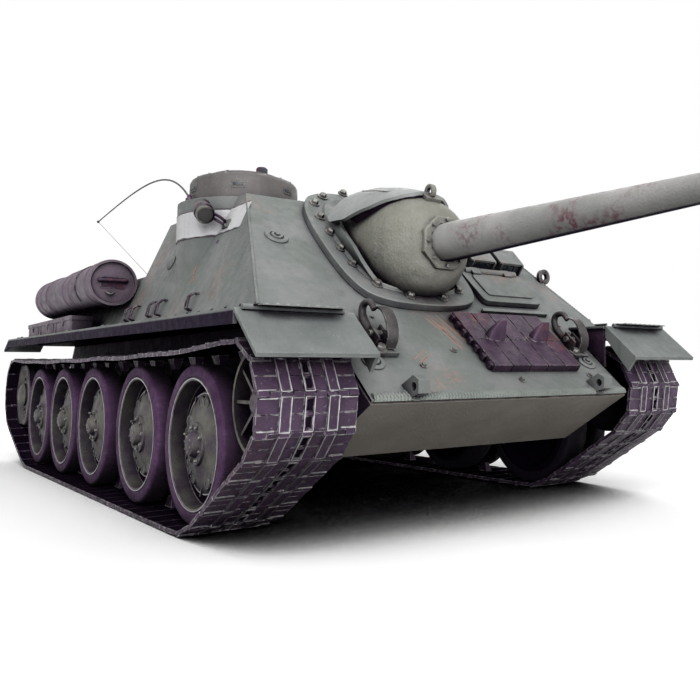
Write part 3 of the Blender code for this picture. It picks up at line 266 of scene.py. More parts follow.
def frames_at(spots: Array, normals: Array, turn: float = 0.0) -> Array:
    """4x4 frames whose z is the normal and whose x is turned about it.

    Args:
        spots: Places, shape (count, 3).
        normals: Outward directions, one or as many.
        turn: Turn about the normal, in radians.

    Returns:
        Frames of shape (count, 4, 4).
    """
    spots = np.asarray(spots, float).reshape(-1, 3)
    z = unit(np.broadcast_to(np.asarray(normals, float), spots.shape))
    helper = np.where(np.abs(z[:, 2:]) < 0.9, [[0.0, 0.0, 1.0]], [[0.0, 1.0, 0.0]])
    x = unit(np.cross(helper, z))
    y = np.cross(z, x)
    c, s = math.cos(turn), math.sin(turn)
    out = np.zeros((len(spots), 4, 4))
    out[:, :3, 0], out[:, :3, 1], out[:, :3, 2] = c * x + s * y, c * y - s * x, z
    out[:, :3, 3], out[:, 3, 3] = spots, 1.0
    return out


def set_on(solid: Solid, place: Placer, spots: Sequence[tuple[float, float]],
           turn: float = 0.0, lift: float = 0.0) -> Solid:
    """Copies of a small solid standing square on a surface at (a, b) spots."""
    a, b = np.asarray(spots, float).T
    zero = np.zeros(len(a)) + lift
    base = place(a, b, zero)
    return solid.moved(frames_at(base, place(a, b, zero + 1.0) - base, turn))


def bolt(radius: float, height: float, washer: float = 0.0) -> Solid:
    """Six-sided bolt head with a chamfer, on a round washer if that has a radius."""
    head = lathe([(0.0, 0.0), (0.0, radius), (0.75 * height, radius), (height, 0.78 * radius),
                  (height, 0.0)], steps=6)
    if not washer:
        return head
    disc = lathe([(0.0, 0.0), (0.0, washer), (0.3 * height, washer), (0.3 * height, 0.0)], steps=14)
    return stacked([disc, head])


def weld_seam(path: Array, radius: float, pitch: float, seed: int = 3) -> Solid:
    """Weld bead: a bar whose radius swells by the square of a sine once each pitch.

    Args:
        path: Centre line, shape (points, 3).
        radius: Radius at a swelling.
        pitch: Distance between swellings.
        seed: Seed of the small unevenness.

    Returns:
        The bead.
    """
    path = np.asarray(path, float)
    step = np.linalg.norm(np.diff(path, axis=0), axis=1)
    travel = np.concatenate([[0.0], np.cumsum(step)])
    count = max(8, int(travel[-1] / pitch * 5))
    s = np.linspace(0.0, travel[-1], count)
    line = np.column_stack([np.interp(s, travel, path[:, k]) for k in range(3)])
    rough = np.random.default_rng(seed).uniform(0.88, 1.0, count)
    return tube(line, radius * rough * (0.72 + 0.28 * np.sin(np.pi * s / pitch) ** 2), 8)


def ripple(points: Array, scale: float, seed: int) -> Array:
    """Smooth unevenness from -1 to 1: the mean of sines along nine seeded directions."""
    rng = np.random.default_rng(seed)
    way = unit(rng.normal(size=(9, 3))) / scale * rng.uniform(0.6, 1.6, (9, 1))
    return np.sin(points @ way.T + rng.uniform(0.0, 6.28, 9)).mean(-1) * 1.6


# ======================================================================
# Finishes
# ======================================================================
class Shader:
    """Short calls that add and join the nodes of one material."""

    def __init__(self, name: str) -> None:
        """Start a material with one Principled shader, read in the piece's own space."""
        self.material = bpy.data.materials.new(name)
        self.material.use_nodes = True
        self.tree = self.material.node_tree
        self.surface = self.tree.nodes["Principled BSDF"]
        self.where = self.add("ShaderNodeTexCoord").outputs

    def add(self, kind: str, **settings: object) -> bpy.types.Node:
        """New node of a kind with its settings."""
        node = self.tree.nodes.new(kind)
        for key, value in settings.items():
            setattr(node, key, value)
        return node

    def put(self, socket: bpy.types.NodeSocket, value: object) -> None:
        """Join an output to an input, or set the input's own value."""
        if isinstance(value, bpy.types.NodeSocket):
            self.tree.links.new(value, socket)
        elif isinstance(value, tuple) and len(value) == 3 and socket.type == "RGBA":
            socket.default_value = (*value, 1.0)
        else:
            socket.default_value = value

    def noise(self, per_metre: float, detail: float = 3.0, stretch: Point = (1.0, 1.0, 1.0),
              rough: float = 0.55, shift: float = 0.0) -> bpy.types.NodeSocket:
        """Noise from 0 to 1 on Object coordinates, squeezed along each axis by `stretch`."""
        mapping = self.add("ShaderNodeMapping")
        self.put(mapping.inputs["Vector"], self.where["Object"])
        self.put(mapping.inputs["Scale"], stretch)
        self.put(mapping.inputs["Location"], (shift, 0.37 * shift, 0.71 * shift))
        node = self.add("ShaderNodeTexNoise")
        self.put(node.inputs["Vector"], mapping.outputs["Vector"])
        for key, value in (("Scale", per_metre), ("Detail", detail), ("Roughness", rough)):
            self.put(node.inputs[key], value)
        return node.outputs["Fac"]

    def span(self, source: object, low: float, high: float, to_low: float = 0.0,
             to_high: float = 1.0) -> bpy.types.NodeSocket:
        """Source mapped from low..high to a new span, held at its ends."""
        node = self.add("ShaderNodeMapRange", interpolation_type="SMOOTHSTEP")
        for key, value in (("Value", source), ("From Min", low), ("From Max", high),
                           ("To Min", to_low), ("To Max", to_high)):
            self.put(node.inputs[key], value)
        return node.outputs["Result"]

    def maths(self, operation: str, first: object, second: object = 0.0) -> bpy.types.NodeSocket:
        """One sum on two numbers, held between 0 and 1 when they are multiplied or added."""
        node = self.add("ShaderNodeMath", operation=operation)
        node.use_clamp = operation in ("ADD", "MULTIPLY")
        self.put(node.inputs[0], first)
        self.put(node.inputs[1], second)
        return node.outputs[0]

    def blend(self, share: object, first: object, second: object) -> bpy.types.NodeSocket:
        """Colour between two colours."""
        node = self.add("ShaderNodeMix", data_type="RGBA")
        self.put(node.inputs["Factor"], share)
        self.put([s for s in node.inputs if s.name == "A" and s.type == "RGBA"][0], first)
        self.put([s for s in node.inputs if s.name == "B" and s.type == "RGBA"][0], second)
        return [s for s in node.outputs if s.type == "RGBA"][0]

    def corners(self, width: float) -> bpy.types.NodeSocket:
        """1 on sharp edges and 0 away from them: how far a rounded normal leaves the true one."""
        bevel = self.add("ShaderNodeBevel", samples=4)
        self.put(bevel.inputs["Radius"], width)
        true = self.add("ShaderNodeNewGeometry").outputs["Normal"]
        dot = self.add("ShaderNodeVectorMath", operation="DOT_PRODUCT")
        self.put(dot.inputs[0], bevel.outputs["Normal"])
        self.put(dot.inputs[1], true)
        return self.span(dot.outputs["Value"], 0.985, 0.86)

    def hollows(self, reach: float, open_at: float = 0.95,
                deep_at: float = 0.25) -> bpy.types.NodeSocket:
        """1 deep in a corner and 0 in the open."""
        node = self.add("ShaderNodeAmbientOcclusion", samples=6)
        self.put(node.inputs["Distance"], reach)
        return self.span(node.outputs["AO"], open_at, deep_at)

    def facing_down(self) -> bpy.types.NodeSocket:
        """1 on surfaces that look down in the piece's own space."""
        split = self.add("ShaderNodeSeparateXYZ")
        self.put(split.inputs[0], self.where["Normal"])
        return self.span(split.outputs["Z"], -0.9, -0.98)

    def split(self, which: str) -> dict[str, bpy.types.NodeSocket]:
        """X, Y and Z of the piece's own coordinates or normals."""
        node = self.add("ShaderNodeSeparateXYZ")
        self.put(node.inputs[0], self.where[which])
        return {s.name: s for s in node.outputs}

    def inward(self, limit: float) -> bpy.types.NodeSocket:
        """1 nearer to the middle plane than a limit in metres."""
        away = self.maths("ABSOLUTE", self.split("Object")["X"])
        return self.span(away, limit, limit - 0.005)

    def sheltered(self, height: float) -> bpy.types.NodeSocket:
        """1 on faces that look sideways below a height, which rises to the rear like a fender."""
        place = self.split("Object")
        fall = self.add("ShaderNodeMath", operation="MULTIPLY_ADD")
        self.put(fall.inputs[0], place["Y"])
        self.put(fall.inputs[1], -0.00927)
        self.put(fall.inputs[2], place["Z"])
        outside = self.span(self.maths("ABSOLUTE", place["X"]), 0.050, 0.054)
        low = self.maths("MULTIPLY", outside, self.span(fall.outputs[0], height, height - 0.0006))
        return self.maths("MULTIPLY", low,
                          self.span(self.maths("ABSOLUTE", self.split("Normal")["X"]),
                                                     0.35, 0.7))

    def bumps(self, heights: Sequence[tuple[object, float]], distance: float) -> None:
        """Bump the surface by the weighted sum of some heights, distance in metres."""
        total: object = 0.0
        for height, weight in heights:
            scaled = self.add("ShaderNodeMath", operation="MULTIPLY_ADD")
            self.put(scaled.inputs[0], height)
            self.put(scaled.inputs[1], weight)
            self.put(scaled.inputs[2], total)
            total = scaled.outputs[0]
        node = self.add("ShaderNodeBump")
        self.put(node.inputs["Distance"], distance)
        self.put(node.inputs["Height"], total)
        self.put(self.surface.inputs["Normal"], node.outputs["Normal"])


@dataclass(frozen=True)
class Coat:
    """Weathered coat: mottled colour, dirt and painted shade in hollows, painted shade below, worn
    edges, fine grain.
    """

    name: str
    base: Colour
    second: Colour
    # Near-black colour of dirt and painted shade in small hollows.
    dirt: Colour = (0.030, 0.016, 0.034)
    worn: Colour = (0.42, 0.42, 0.38)
    roughness: float = 0.55
    metallic: float = 0.0
    mottle: float = 45.0
    dirt_share: float = 0.8
    # Painted shade: near-black colour laid on faces that look down.
    below: Colour = (0.009, 0.005, 0.020)
    below_share: float = 0.97
    wear_share: float = 0.55
    wear_width: float = 0.0005
    grain: float = 0.5
    grain_per_metre: float = 1400.0
    cast: float = 0.0
    streak: float = 0.35
    shade_share: float = 0.93
    # Side faces below this fender-like height get painted shade; 0 for none.
    under_height: float = 0.0
    shine: float = 0.4
    # Faces nearer the middle plane than this get painted shade; 0 for none.
    inner_limit: float = 0.0
    tint: Colour | None = None
    tint_share: float = 0.0

    def make(self) -> bpy.types.Material:
        """Build the node material.

        Returns:
            The material, all of it on the piece's own coordinates.
        """
        s = Shader(self.name)
        covers: list[bpy.types.NodeSocket] = []
        large = s.noise(self.mottle, 5.0)
        colour = s.blend(s.span(large, 0.35, 0.68), self.base, self.second)
        if self.streak:
            run = s.noise(260.0, 3.0, (1.0, 1.0, 0.09), shift=3.1)
            dark = tuple(0.62 * c for c in self.base)
            colour = s.blend(s.span(run, 0.52, 0.8, 0.0, self.streak), colour, dark)
        fine = s.noise(900.0, 4.0, shift=7.7)
        colour = s.blend(s.span(fine, 0.60, 0.78, 0.0, 0.3), colour, self.worn)
        if self.tint is not None:
            patch = s.maths("MULTIPLY", s.span(s.noise(38.0, 2.0, shift=5.0), 0.55, 0.72),
                            s.span(s.noise(520.0, 5.0, shift=9.0), 0.42, 0.62))
            colour = s.blend(s.maths("MULTIPLY", patch, self.tint_share), colour, self.tint)
        # Dirt mixed with painted shade in small hollows, found by ambient occlusion.
        smudge = s.span(s.noise(150.0, 4.0, shift=1.3), 0.25, 0.75, 0.45, 1.0)
        deep = s.maths("MULTIPLY", s.hollows(0.009), s.maths("MULTIPLY", smudge, self.dirt_share))
        colour = s.blend(deep, colour, self.dirt)
        # Painted shade on faces that look down.
        if self.below_share:
            low = s.maths("MULTIPLY", s.facing_down(), self.below_share)
            colour = s.blend(low, colour, self.below)
            covers.append(low)
        chips = s.span(s.noise(420.0, 4.0, shift=2.2), 0.42, 0.60)
        edge = s.maths("MULTIPLY", s.corners(self.wear_width),
                       s.maths("MULTIPLY", chips, self.wear_share))
        colour = s.blend(edge, colour, self.worn)
        # Painted shade on low side faces under the fender line.
        if self.under_height:
            covers.append(s.maths("MULTIPLY", s.sheltered(self.under_height), 0.96))
            colour = s.blend(covers[-1], colour, (0.016, 0.008, 0.025))
        # Painted shade on faces near the middle plane, such as the inner wheel halves.
        if self.inner_limit:
            covers.append(s.inward(self.inner_limit))
            colour = s.blend(covers[-1], colour, (0.004, 0.002, 0.006))
        shade = s.maths("MULTIPLY", s.hollows(0.07, 0.60, 0.26), self.shade_share)
        colour = s.blend(shade, colour, (0.004, 0.002, 0.006))
        covers += [shade, deep]
        s.put(s.surface.inputs["Base Color"], colour)
        s.put(s.surface.inputs["Metallic"], self.metallic)
        # Specular is cut where dirt and painted shade lie.
        shine: object = self.shine
        for cover in covers:
            shine = s.maths("MULTIPLY", shine, s.maths("SUBTRACT", 1.0, cover))
        s.put(s.surface.inputs["Specular IOR Level"], shine)
        s.put(s.surface.inputs["Roughness"],
              s.span(s.noise(300.0, 4.0, shift=4.4), 0.3, 0.7, self.roughness - 0.1,
                     self.roughness + 0.14))
        heights = [(s.noise(self.grain_per_metre, 4.0, shift=6.1), self.grain)]
        if self.cast:
            heights.append((s.noise(330.0, 5.0, shift=8.3, rough=0.62), self.cast))
        s.bumps(heights, 0.0004)
        return s.material


@dataclass(frozen=True)
class Rubber:
    """Tyre rubber: fine lines round the tyre, purple-grey dust, small nicks, and dirt with painted
    shade in hollows.
    """

    name: str = "tyre_rubber"
    base: Colour = (0.060, 0.026, 0.068)
    dust: Colour = (0.135, 0.070, 0.150)

    def make(self) -> bpy.types.Material:
        """Build the node material."""
        s = Shader(self.name)
        dusty = s.maths("MULTIPLY", s.span(s.noise(85.0, 5.0), 0.3, 0.7),
                        s.span(s.noise(900.0, 3.0, (0.25, 1.0, 1.0)), 0.3, 0.7, 0.4, 1.0))
        colour = s.blend(dusty, self.base, self.dust)
        # Dirt and painted shade in small hollows; painted shade in deep hollows and on the inner
        # tyres.
        colour = s.blend(s.maths("MULTIPLY", s.hollows(0.008), 0.85), colour, (0.012, 0.007, 0.015))
        colour = s.blend(s.hollows(0.07, 0.5, 0.16), colour, (0.004, 0.002, 0.005))
        colour = s.blend(s.inward(0.081), colour, (0.004, 0.002, 0.006))
        s.put(s.surface.inputs["Base Color"], colour)
        s.put(s.surface.inputs["Roughness"], s.span(s.noise(400.0), 0.3, 0.7, 0.6, 0.85))
        s.put(s.surface.inputs["Specular IOR Level"], 0.15)
        s.bumps([(s.noise(1500.0, 4.0), 0.8), (s.noise(380.0, 3.0, shift=2.0), 0.6)], 0.0003)
        return s.material


@dataclass(frozen=True)
class Moulding:
    """Plain plastic or board of the works inside: faint mottle, fine grain, scuffs."""

    name: str
    base: Colour
    gloss: float = 0.45

    def make(self) -> bpy.types.Material:
        """Build the node material."""
        s = Shader(self.name)
        light = tuple(min(1.0, 1.5 * c + 0.015) for c in self.base)
        s.put(s.surface.inputs["Base Color"],
              s.blend(s.span(s.noise(120.0, 4.0), 0.35, 0.75), self.base, light))
        s.put(s.surface.inputs["Roughness"],
              s.span(s.noise(500.0), 0.3, 0.7, self.gloss - 0.1, self.gloss + 0.15))
        s.bumps([(s.noise(2500.0, 3.0), 0.5)], 0.0002)
        return s.material


Finish = Coat | Rubber | Moulding
Parts = list[tuple[Solid, Finish]]


class Palette:
    """The finishes of this vehicle, each made once."""

    armour = Coat("armour_paint", (0.155, 0.172, 0.162), (0.222, 0.232, 0.230),
                  tint=(0.42, 0.20, 0.16), tint_share=0.35)
    casting = Coat("cast_armour_paint", (0.205, 0.206, 0.172), (0.300, 0.296, 0.260), cast=1.6,
                   tint=(0.10, 0.06, 0.13), tint_share=0.7,
                   grain=0.8, dirt_share=0.95, wear_share=0.35)
    hood = Coat("hood_paint", (0.280, 0.295, 0.290), (0.360, 0.372, 0.368), dirt_share=0.6,
                wear_share=0.45)
    tube_paint = Coat("gun_tube_paint", (0.300, 0.300, 0.288), (0.415, 0.408, 0.395),
                      tint=(0.15, 0.02, 0.045), tint_share=0.85, streak=0.2, wear_share=0.3)
    sheet = Coat("fender_paint", (0.145, 0.162, 0.156), (0.200, 0.216, 0.210), wear_share=0.7,
                 below_share=0.97)
    wheel = Coat("wheel_paint", (0.062, 0.045, 0.066), (0.158, 0.154, 0.128), mottle=95.0,
                 dirt_share=1.0, below_share=0.0, wear_share=0.75, worn=(0.40, 0.40, 0.38),
                 streak=0.25, inner_limit=0.074)
    track = Coat("track_steel", (0.040, 0.021, 0.046), (0.074, 0.041, 0.082),
                 dirt=(0.010, 0.006, 0.012), worn=(0.60, 0.58, 0.58), roughness=0.5,
                 metallic=0.25, mottle=110.0, wear_share=1.0, wear_width=0.00042,
                 below_share=0.0, shade_share=0.45, streak=0.0, cast=0.5,
                  tint=(0.13, 0.045, 0.035),
                 tint_share=0.4)
    iron = Coat("dark_iron", (0.036, 0.017, 0.040), (0.070, 0.036, 0.070),
                dirt=(0.012, 0.007, 0.014), worn=(0.45, 0.43, 0.40), roughness=0.48,
                metallic=0.3, mottle=130.0, wear_share=0.8, below_share=0.4, streak=0.0,
                cast=0.4, tint=(0.20, 0.045, 0.030), tint_share=0.6)
    steel = Coat("bright_bolts", (0.150, 0.150, 0.135), (0.240, 0.235, 0.220),
                 worn=(0.55, 0.54, 0.50), roughness=0.42, metallic=0.35, mottle=300.0,
                 wear_share=0.9, below_share=0.2, streak=0.0)
    drum = Coat("drum_paint", (0.118, 0.086, 0.116), (0.168, 0.126, 0.168), wear_share=0.5,
                dirt_share=0.9, below_share=0.95, mottle=70.0)
    cupola = Coat("roof_paint", (0.100, 0.091, 0.090), (0.150, 0.138, 0.136), wear_share=0.5)
    band = Coat("white_band", (0.74, 0.74, 0.76), (0.86, 0.86, 0.86), dirt=(0.10, 0.07, 0.14),
                worn=(0.35, 0.33, 0.38), wear_share=0.4, dirt_share=0.8, streak=0.25,
                below_share=0.0)
    scuff = Coat("scratched_primer", (0.36, 0.195, 0.15), (0.24, 0.22, 0.19), wear_share=0.1,
                 below_share=0.0, streak=0.0)
    seam = Coat("weld_paint", (0.20, 0.225, 0.205), (0.31, 0.335, 0.31), dirt_share=1.0,
                wear_share=0.2, grain=1.0, below_share=0.0)
    black = Moulding("black_plastic", (0.022, 0.021, 0.022))
    board = Moulding("board_green", (0.02, 0.16, 0.055), 0.35)
    glass = Moulding("vision_glass", (0.012, 0.016, 0.024), 0.18)
    wire = Coat("antenna_wire", (0.05, 0.05, 0.05), (0.09, 0.09, 0.09), wear_share=0.2,
                below_share=0.0, streak=0.0)
    rubber = Rubber()
    # Lower hull paint whose low sides are painted near black as shade under the fenders.
    lower = Coat("lower_hull_paint", (0.235, 0.215, 0.185), (0.300, 0.275, 0.240), streak=0.2,
                 shade_share=0.1, under_height=0.0702)
    hull = replace(armour, name="upper_hull_paint", under_height=0.0701)
    forged = replace(iron, name="forged_iron", base=(0.036, 0.030, 0.034),
                     second=(0.085, 0.078, 0.078))
    # Near-black coat put in recesses and gaps as painted shade.
    pit = Coat("grimed_recess", (0.008, 0.005, 0.010), (0.014, 0.008, 0.018), wear_share=0.05,
               shine=0.0,
               streak=0.0, worn=(0.05, 0.04, 0.06))
    bright = Coat("worn_edges", (0.50, 0.48, 0.50), (0.72, 0.70, 0.72), worn=(0.80, 0.78, 0.80),
                  roughness=0.4, metallic=0.2, mottle=420.0, wear_share=0.3, below_share=0.0,
                  shade_share=0.85, dirt=(0.05, 0.03, 0.055), dirt_share=0.9, streak=0.0)
    _made: dict[str, bpy.types.Material] = {}

    @classmethod
    def material(cls, finish: Finish) -> bpy.types.Material:
        """The finish's material, built on first use."""
        if finish.name not in cls._made:
            cls._made[finish.name] = finish.make()
        return cls._made[finish.name]


# ======================================================================
# The vehicle's form and how a piece is put together
# ======================================================================
@dataclass(frozen=True)
class Vehicle:
    """Main lines of the hull, in millimetres, and the surfaces that fittings stand on."""

    first_wheel: float = -170.1
    nose: tuple[float, float] = (-231.9, 43.7)
    glacis: float = math.radians(40.5)
    sponson: tuple[float, float] = (79.8, 70.75)
    lean: float = 21.8 / 51.65
    roof: float = 122.4
    deck: float = 97.0
    belly: tuple[float, float] = (-199.0, 24.0)
    ridge: tuple[float, float] = (132.0, 50.0)
    deck_rear: float = 98.0
    casemate_rear: float = -53.5
    gun: Point = (-11.0, -172.0, 98.5)
    cupola: tuple[float, float] = (-45.1, -108.3)
    shift: float = field(init=False)

    def __post_init__(self) -> None:
        """The frame's Y of the vehicle's own zero station, read off the first road wheel."""
        low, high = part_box("road_wheel_right_1")
        object.__setattr__(self, "shift", (low.y + high.y) / 2.0 / MM - self.first_wheel)

    def metres(self, points: Array) -> Array:
        """Millimetres at the vehicle's stations as metres in the row frame."""
        return (np.asarray(points, float) + (0.0, self.shift, 0.0)) * MM

    def up(self, y: float) -> float:
        """Distance up the front plate from the nose to a station."""
        return (y - self.nose[0]) / math.cos(self.glacis)

    def front(self, x: Array, along: Array, off: Array) -> Array:
        """Front plate: `along` runs up the slope, `off` stands square off it."""
        c, s = math.cos(self.glacis), math.sin(self.glacis)
        return np.stack([x, self.nose[0] + along * c - off * s,
                         self.nose[1] + along * s + off * c], -1)

    def side_x(self, z: Array) -> Array:
        """Half width of the sloped side at a height."""
        return self.sponson[0] - (z - self.sponson[1]) * self.lean

    def flank(self, side: Side) -> Placer:
        """Sloped side plate: a is the station, b the height."""
        size = math.hypot(1.0, self.lean)

        def place(y: Array, z: Array, off: Array) -> Array:
            return np.stack([side.value * (self.side_x(z) + off / size), y + 0.0 * z,
                             z + off * self.lean / size], -1)
        return place

    def rear(self, x: Array, z: Array, off: Array) -> Array:
        """Upper rear plate: b is the height."""
        run, rise = self.ridge[0] - self.deck_rear, self.deck - self.ridge[1]
        size = math.hypot(run, rise)
        y = self.ridge[0] - (z - self.ridge[1]) / rise * run
        return np.stack([x, y + off * rise / size, z + off * run / size], -1)

    def level(self, height: float) -> Placer:
        """Flat plate at a height: a and b are x and y."""
        return lambda x, y, off: np.stack([x, y, height + off], -1)

    def fender_z(self, y: float | Array) -> float | Array:
        """Top of the fender at a station."""
        return 69.9 + (y + 221.4) / 334.4 * 3.1

    def blister(self, radius: float = 27.2) -> Placer:
        """Round wall under the cupola: a is the turn from +Y towards -X, b the height."""
        def place(turn: Array, z: Array, off: Array) -> Array:
            r = radius + off
            return np.stack([self.cupola[0] - r * np.sin(turn), self.cupola[1] + r * np.cos(turn),
                             z + 0.0 * r], -1)
        return place


SHAPE = Vehicle()


def put_together(name: str, parts: Sequence[tuple[Solid, Finish]], body: str = "root",
                 stands_for: Sequence[str] = (),
                 sharp: float = 32.0,
                 edge: float = 0.0) -> bpy.types.Object:
    """Make one piece from solids, dress it and let it ride.

    Args:
        name: Name of the piece.
        parts: Solids in millimetres, each with its finish.
        body: Body that the piece rides on.
        stands_for: CAD nodes that it replaces.
        sharp: Edges over this angle, in degrees, stay sharp.
        edge: Width of a rounded edge in millimetres, or 0 for none.

    Returns:
        The piece, at the origin, with its place in its mesh.
    """
    whole = stacked([solid for solid, _ in parts])
    finishes = list(dict.fromkeys(finish for _, finish in parts))
    marks = np.concatenate([np.full(len(f), finishes.index(finish))
                            for solid, finish in parts for f in solid.faces])
    mesh = bpy.data.meshes.new(name)
    mesh.from_pydata(SHAPE.metres(whole.points).tolist(), [],
                     [tuple(face) for f in whole.faces for face in f.tolist()])
    mesh.polygons.foreach_set("material_index", marks.astype(np.int32))
    work = bmesh.new()
    work.from_mesh(mesh)
    bmesh.ops.remove_doubles(work, verts=work.verts, dist=2e-7)
    bmesh.ops.recalc_face_normals(work, faces=work.faces)
    work.to_mesh(mesh)
    work.free()
    return dressed(name, mesh, finishes, body, stands_for, sharp, edge)


def dressed(name: str, mesh: bpy.types.Mesh, finishes: Sequence[Finish], body: str,
            stands_for: Sequence[str], sharp: float,
            edge: float) -> bpy.types.Object:
    """Give a mesh its finishes, edges and body, and report it."""
    piece = bpy.data.objects.new(name, mesh)
    bpy.context.scene.collection.objects.link(piece)
    for finish in finishes:
        mesh.materials.append(Palette.material(finish))
    mesh.shade_smooth()
    mesh.set_sharp_from_angle(angle=math.radians(sharp))
    if edge:
        bevel = piece.modifiers.new("edge", "BEVEL")
        bevel.width, bevel.segments = edge * MM, 2
        bevel.limit_method, bevel.angle_limit = "ANGLE", math.radians(sharp)
        bevel.harden_normals = True
        bevel.use_clamp_overlap = True
    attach(piece, body)
    if stands_for:
        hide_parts(*stands_for)
    log.info("%s: %d faces on %s", name, len(mesh.polygons), body)
    return piece


def body_of(node: str) -> str:
    """Body that a CAD node rides on."""
    return frame["nodes"][node]["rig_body"]


def refined(node: str, finish: Finish, edge: float = 0.35,
            sharp: float = 30.0) -> bpy.types.Object:
    """Copy of a CAD node with merged points, flat faces joined and rounded edges.

    Args:
        node: The CAD node it stands for.
        finish: Its finish.
        edge: Width of the rounded edges in millimetres.
        sharp: Edges over this angle, in degrees, are rounded.

    Returns:
        The piece that replaces the node.
    """
    mesh = frame["nodes"][node].data.copy()
    mesh.materials.clear()
    mesh.name = node + "_finished"
    work = bmesh.new()
    work.from_mesh(mesh)
    bmesh.ops.remove_doubles(work, verts=work.verts, dist=1e-6)
    bmesh.ops.dissolve_limit(work, angle_limit=math.radians(0.6), verts=work.verts,
                             edges=work.edges)
    work.to_mesh(mesh)
    work.free()
    return dressed(node + "_finished", mesh, [finish], body_of(node), [node], sharp, edge)


def keep_node(node: str, finish: Finish) -> None:
    """Leave a CAD node showing, with a better finish."""
    piece = frame["nodes"][node]
    piece.data.materials.clear()
    piece.data.materials.append(Palette.material(finish))
    log.info("%s: kept, %s", node, finish.name)


# ======================================================================
# Studio
# ======================================================================
@dataclass(frozen=True)
class Studio:
    """Plain pale floor, soft lights, white surroundings and the camera."""

    azimuth: float = -39.91
    elevation: float = -5.18
    roll: float = -0.37
    eye: Point = (-182.07, -424.13, 51.9)
    lens: float = 39.59
    shift: tuple[float, float] = (-0.1698, -0.0689)
    surround: float = 0.27
    lamps: tuple[tuple[str, Point, float, float], ...] = (
        ("key", (-0.40, -0.80, 1.10), 0.9, 9.5),
        ("front", (-0.55, -1.30, 0.16), 0.7, 17.0),
        ("fill", (-1.1, -0.5, 0.45), 0.8, 0.7),
        ("back", (0.7, 0.9, 0.9), 1.0, 6.0),
    )

    def camera(self) -> None:
        """Camera at the viewing angle: back and up turned by azimuth, elevation and roll."""
        a, e, r = (math.radians(v) for v in (self.azimuth, self.elevation, self.roll))
        back = np.array([math.sin(a) * math.cos(e), -math.cos(a) * math.cos(e), math.sin(e)])
        right = np.array([math.cos(a), math.sin(a), 0.0])
        up = np.cross(back, right)
        turned = math.cos(r) * right + math.sin(r) * up, math.cos(r) * up - math.sin(r) * right
        data = bpy.data.cameras.new("camera")
        data.sensor_width, data.lens = 36.0, self.lens
        data.shift_x, data.shift_y = self.shift
        data.clip_start, data.clip_end = 0.01, 50.0
        camera = bpy.data.objects.new("camera", data)
        bpy.context.scene.collection.objects.link(camera)
        matrix = Matrix(np.column_stack([*turned, back]).tolist()).to_4x4()
        matrix.translation = SHAPE.metres([self.eye])[0]
        camera.matrix_world = matrix
        bpy.context.scene.camera = camera

    def floor(self) -> None:
        """Floor that looks white to the camera, keeps the cast shadow, adds a painted shadow under
        the vehicle and bounces little light.
        """
        mesh = bpy.data.meshes.new("floor")
        mesh.from_pydata([(-9.0, -9.0, 0.0), (9.0, -9.0, 0.0), (9.0, 9.0, 0.0), (-9.0, 9.0, 0.0)],
                         [], [(0, 1, 2, 3)])
        floor = bpy.data.objects.new("floor", mesh)
        bpy.context.scene.collection.objects.link(floor)
        s = Shader("floor")
        seen = s.add("ShaderNodeLightPath").outputs
        direct = s.maths("ADD", seen["Is Camera Ray"],
                         s.maths("ADD", seen["Is Glossy Ray"], seen["Is Transmission Ray"]))
        # Painted shadow: the floor goes near black where the vehicle hides it within 11 cm, and its
        # white glow drops there.
        under = s.hollows(0.11, 0.50, 0.22)
        seen_as = s.blend(under, (1.0, 1.0, 1.0), (0.004, 0.003, 0.005))
        reach = s.add("ShaderNodeVectorMath", operation="LENGTH")
        s.put(reach.inputs[0], s.where["Object"])
        far = s.maths("MULTIPLY", s.span(reach.outputs["Value"], 0.32, 0.62), direct)
        s.put(s.surface.inputs["Base Color"], s.blend(direct, (0.10, 0.10, 0.105), seen_as))
        s.put(s.surface.inputs["Emission Color"], (1.0, 1.0, 1.0))
        clear = s.maths("MULTIPLY", s.span(under, 0.0, 0.6, 0.32, 0.0), direct)
        s.put(s.surface.inputs["Emission Strength"], s.maths("ADD", far, clear))
        s.put(s.surface.inputs["Roughness"], 0.9)
        s.put(s.surface.inputs["Specular IOR Level"], 0.0)
        mesh.materials.append(s.material)

    def surroundings(self) -> None:
        """World that is white to the eye and a plain soft light on the object."""
        world = bpy.data.worlds.new("surroundings")
        world.use_nodes = True
        tree = world.node_tree
        light = tree.nodes["Background"]
        seen = tree.nodes.new("ShaderNodeLightPath").outputs
        first, second = (tree.nodes.new("ShaderNodeMath") for _ in range(2))
        first.operation = second.operation = "MAXIMUM"
        span = tree.nodes.new("ShaderNodeMapRange")
        tree.links.new(seen["Is Camera Ray"], first.inputs[0])
        tree.links.new(seen["Is Glossy Ray"], first.inputs[1])
        tree.links.new(first.outputs[0], second.inputs[0])
        tree.links.new(seen["Is Transmission Ray"], second.inputs[1])
        tree.links.new(second.outputs[0], span.inputs["Value"])
        span.inputs["To Min"].default_value = self.surround
        span.inputs["To Max"].default_value = 1.0
        light.inputs["Color"].default_value = (1.0, 1.0, 1.0, 1.0)
        tree.links.new(span.outputs["Result"], light.inputs["Strength"])
        bpy.context.scene.world = world

    def lights(self) -> None:
        """Square lamps that look at the middle of the vehicle."""
        for name, place, size, power in self.lamps:
            data = bpy.data.lights.new(name, "AREA")
            data.shape, data.size, data.energy = "SQUARE", size, power
            lamp = bpy.data.objects.new(name, data)
            bpy.context.scene.collection.objects.link(lamp)
            back = unit(np.array(place) - (0.0, 0.0, 0.06))
            matrix = Matrix(frames_at([place], back)[0].tolist())
            lamp.matrix_world = matrix

    def build(self) -> None:
        """Everything round the object."""
        scene = bpy.context.scene
        scene.view_settings.view_transform = "Standard"
        self.camera()
        self.floor()
        self.surroundings()
        self.lights()


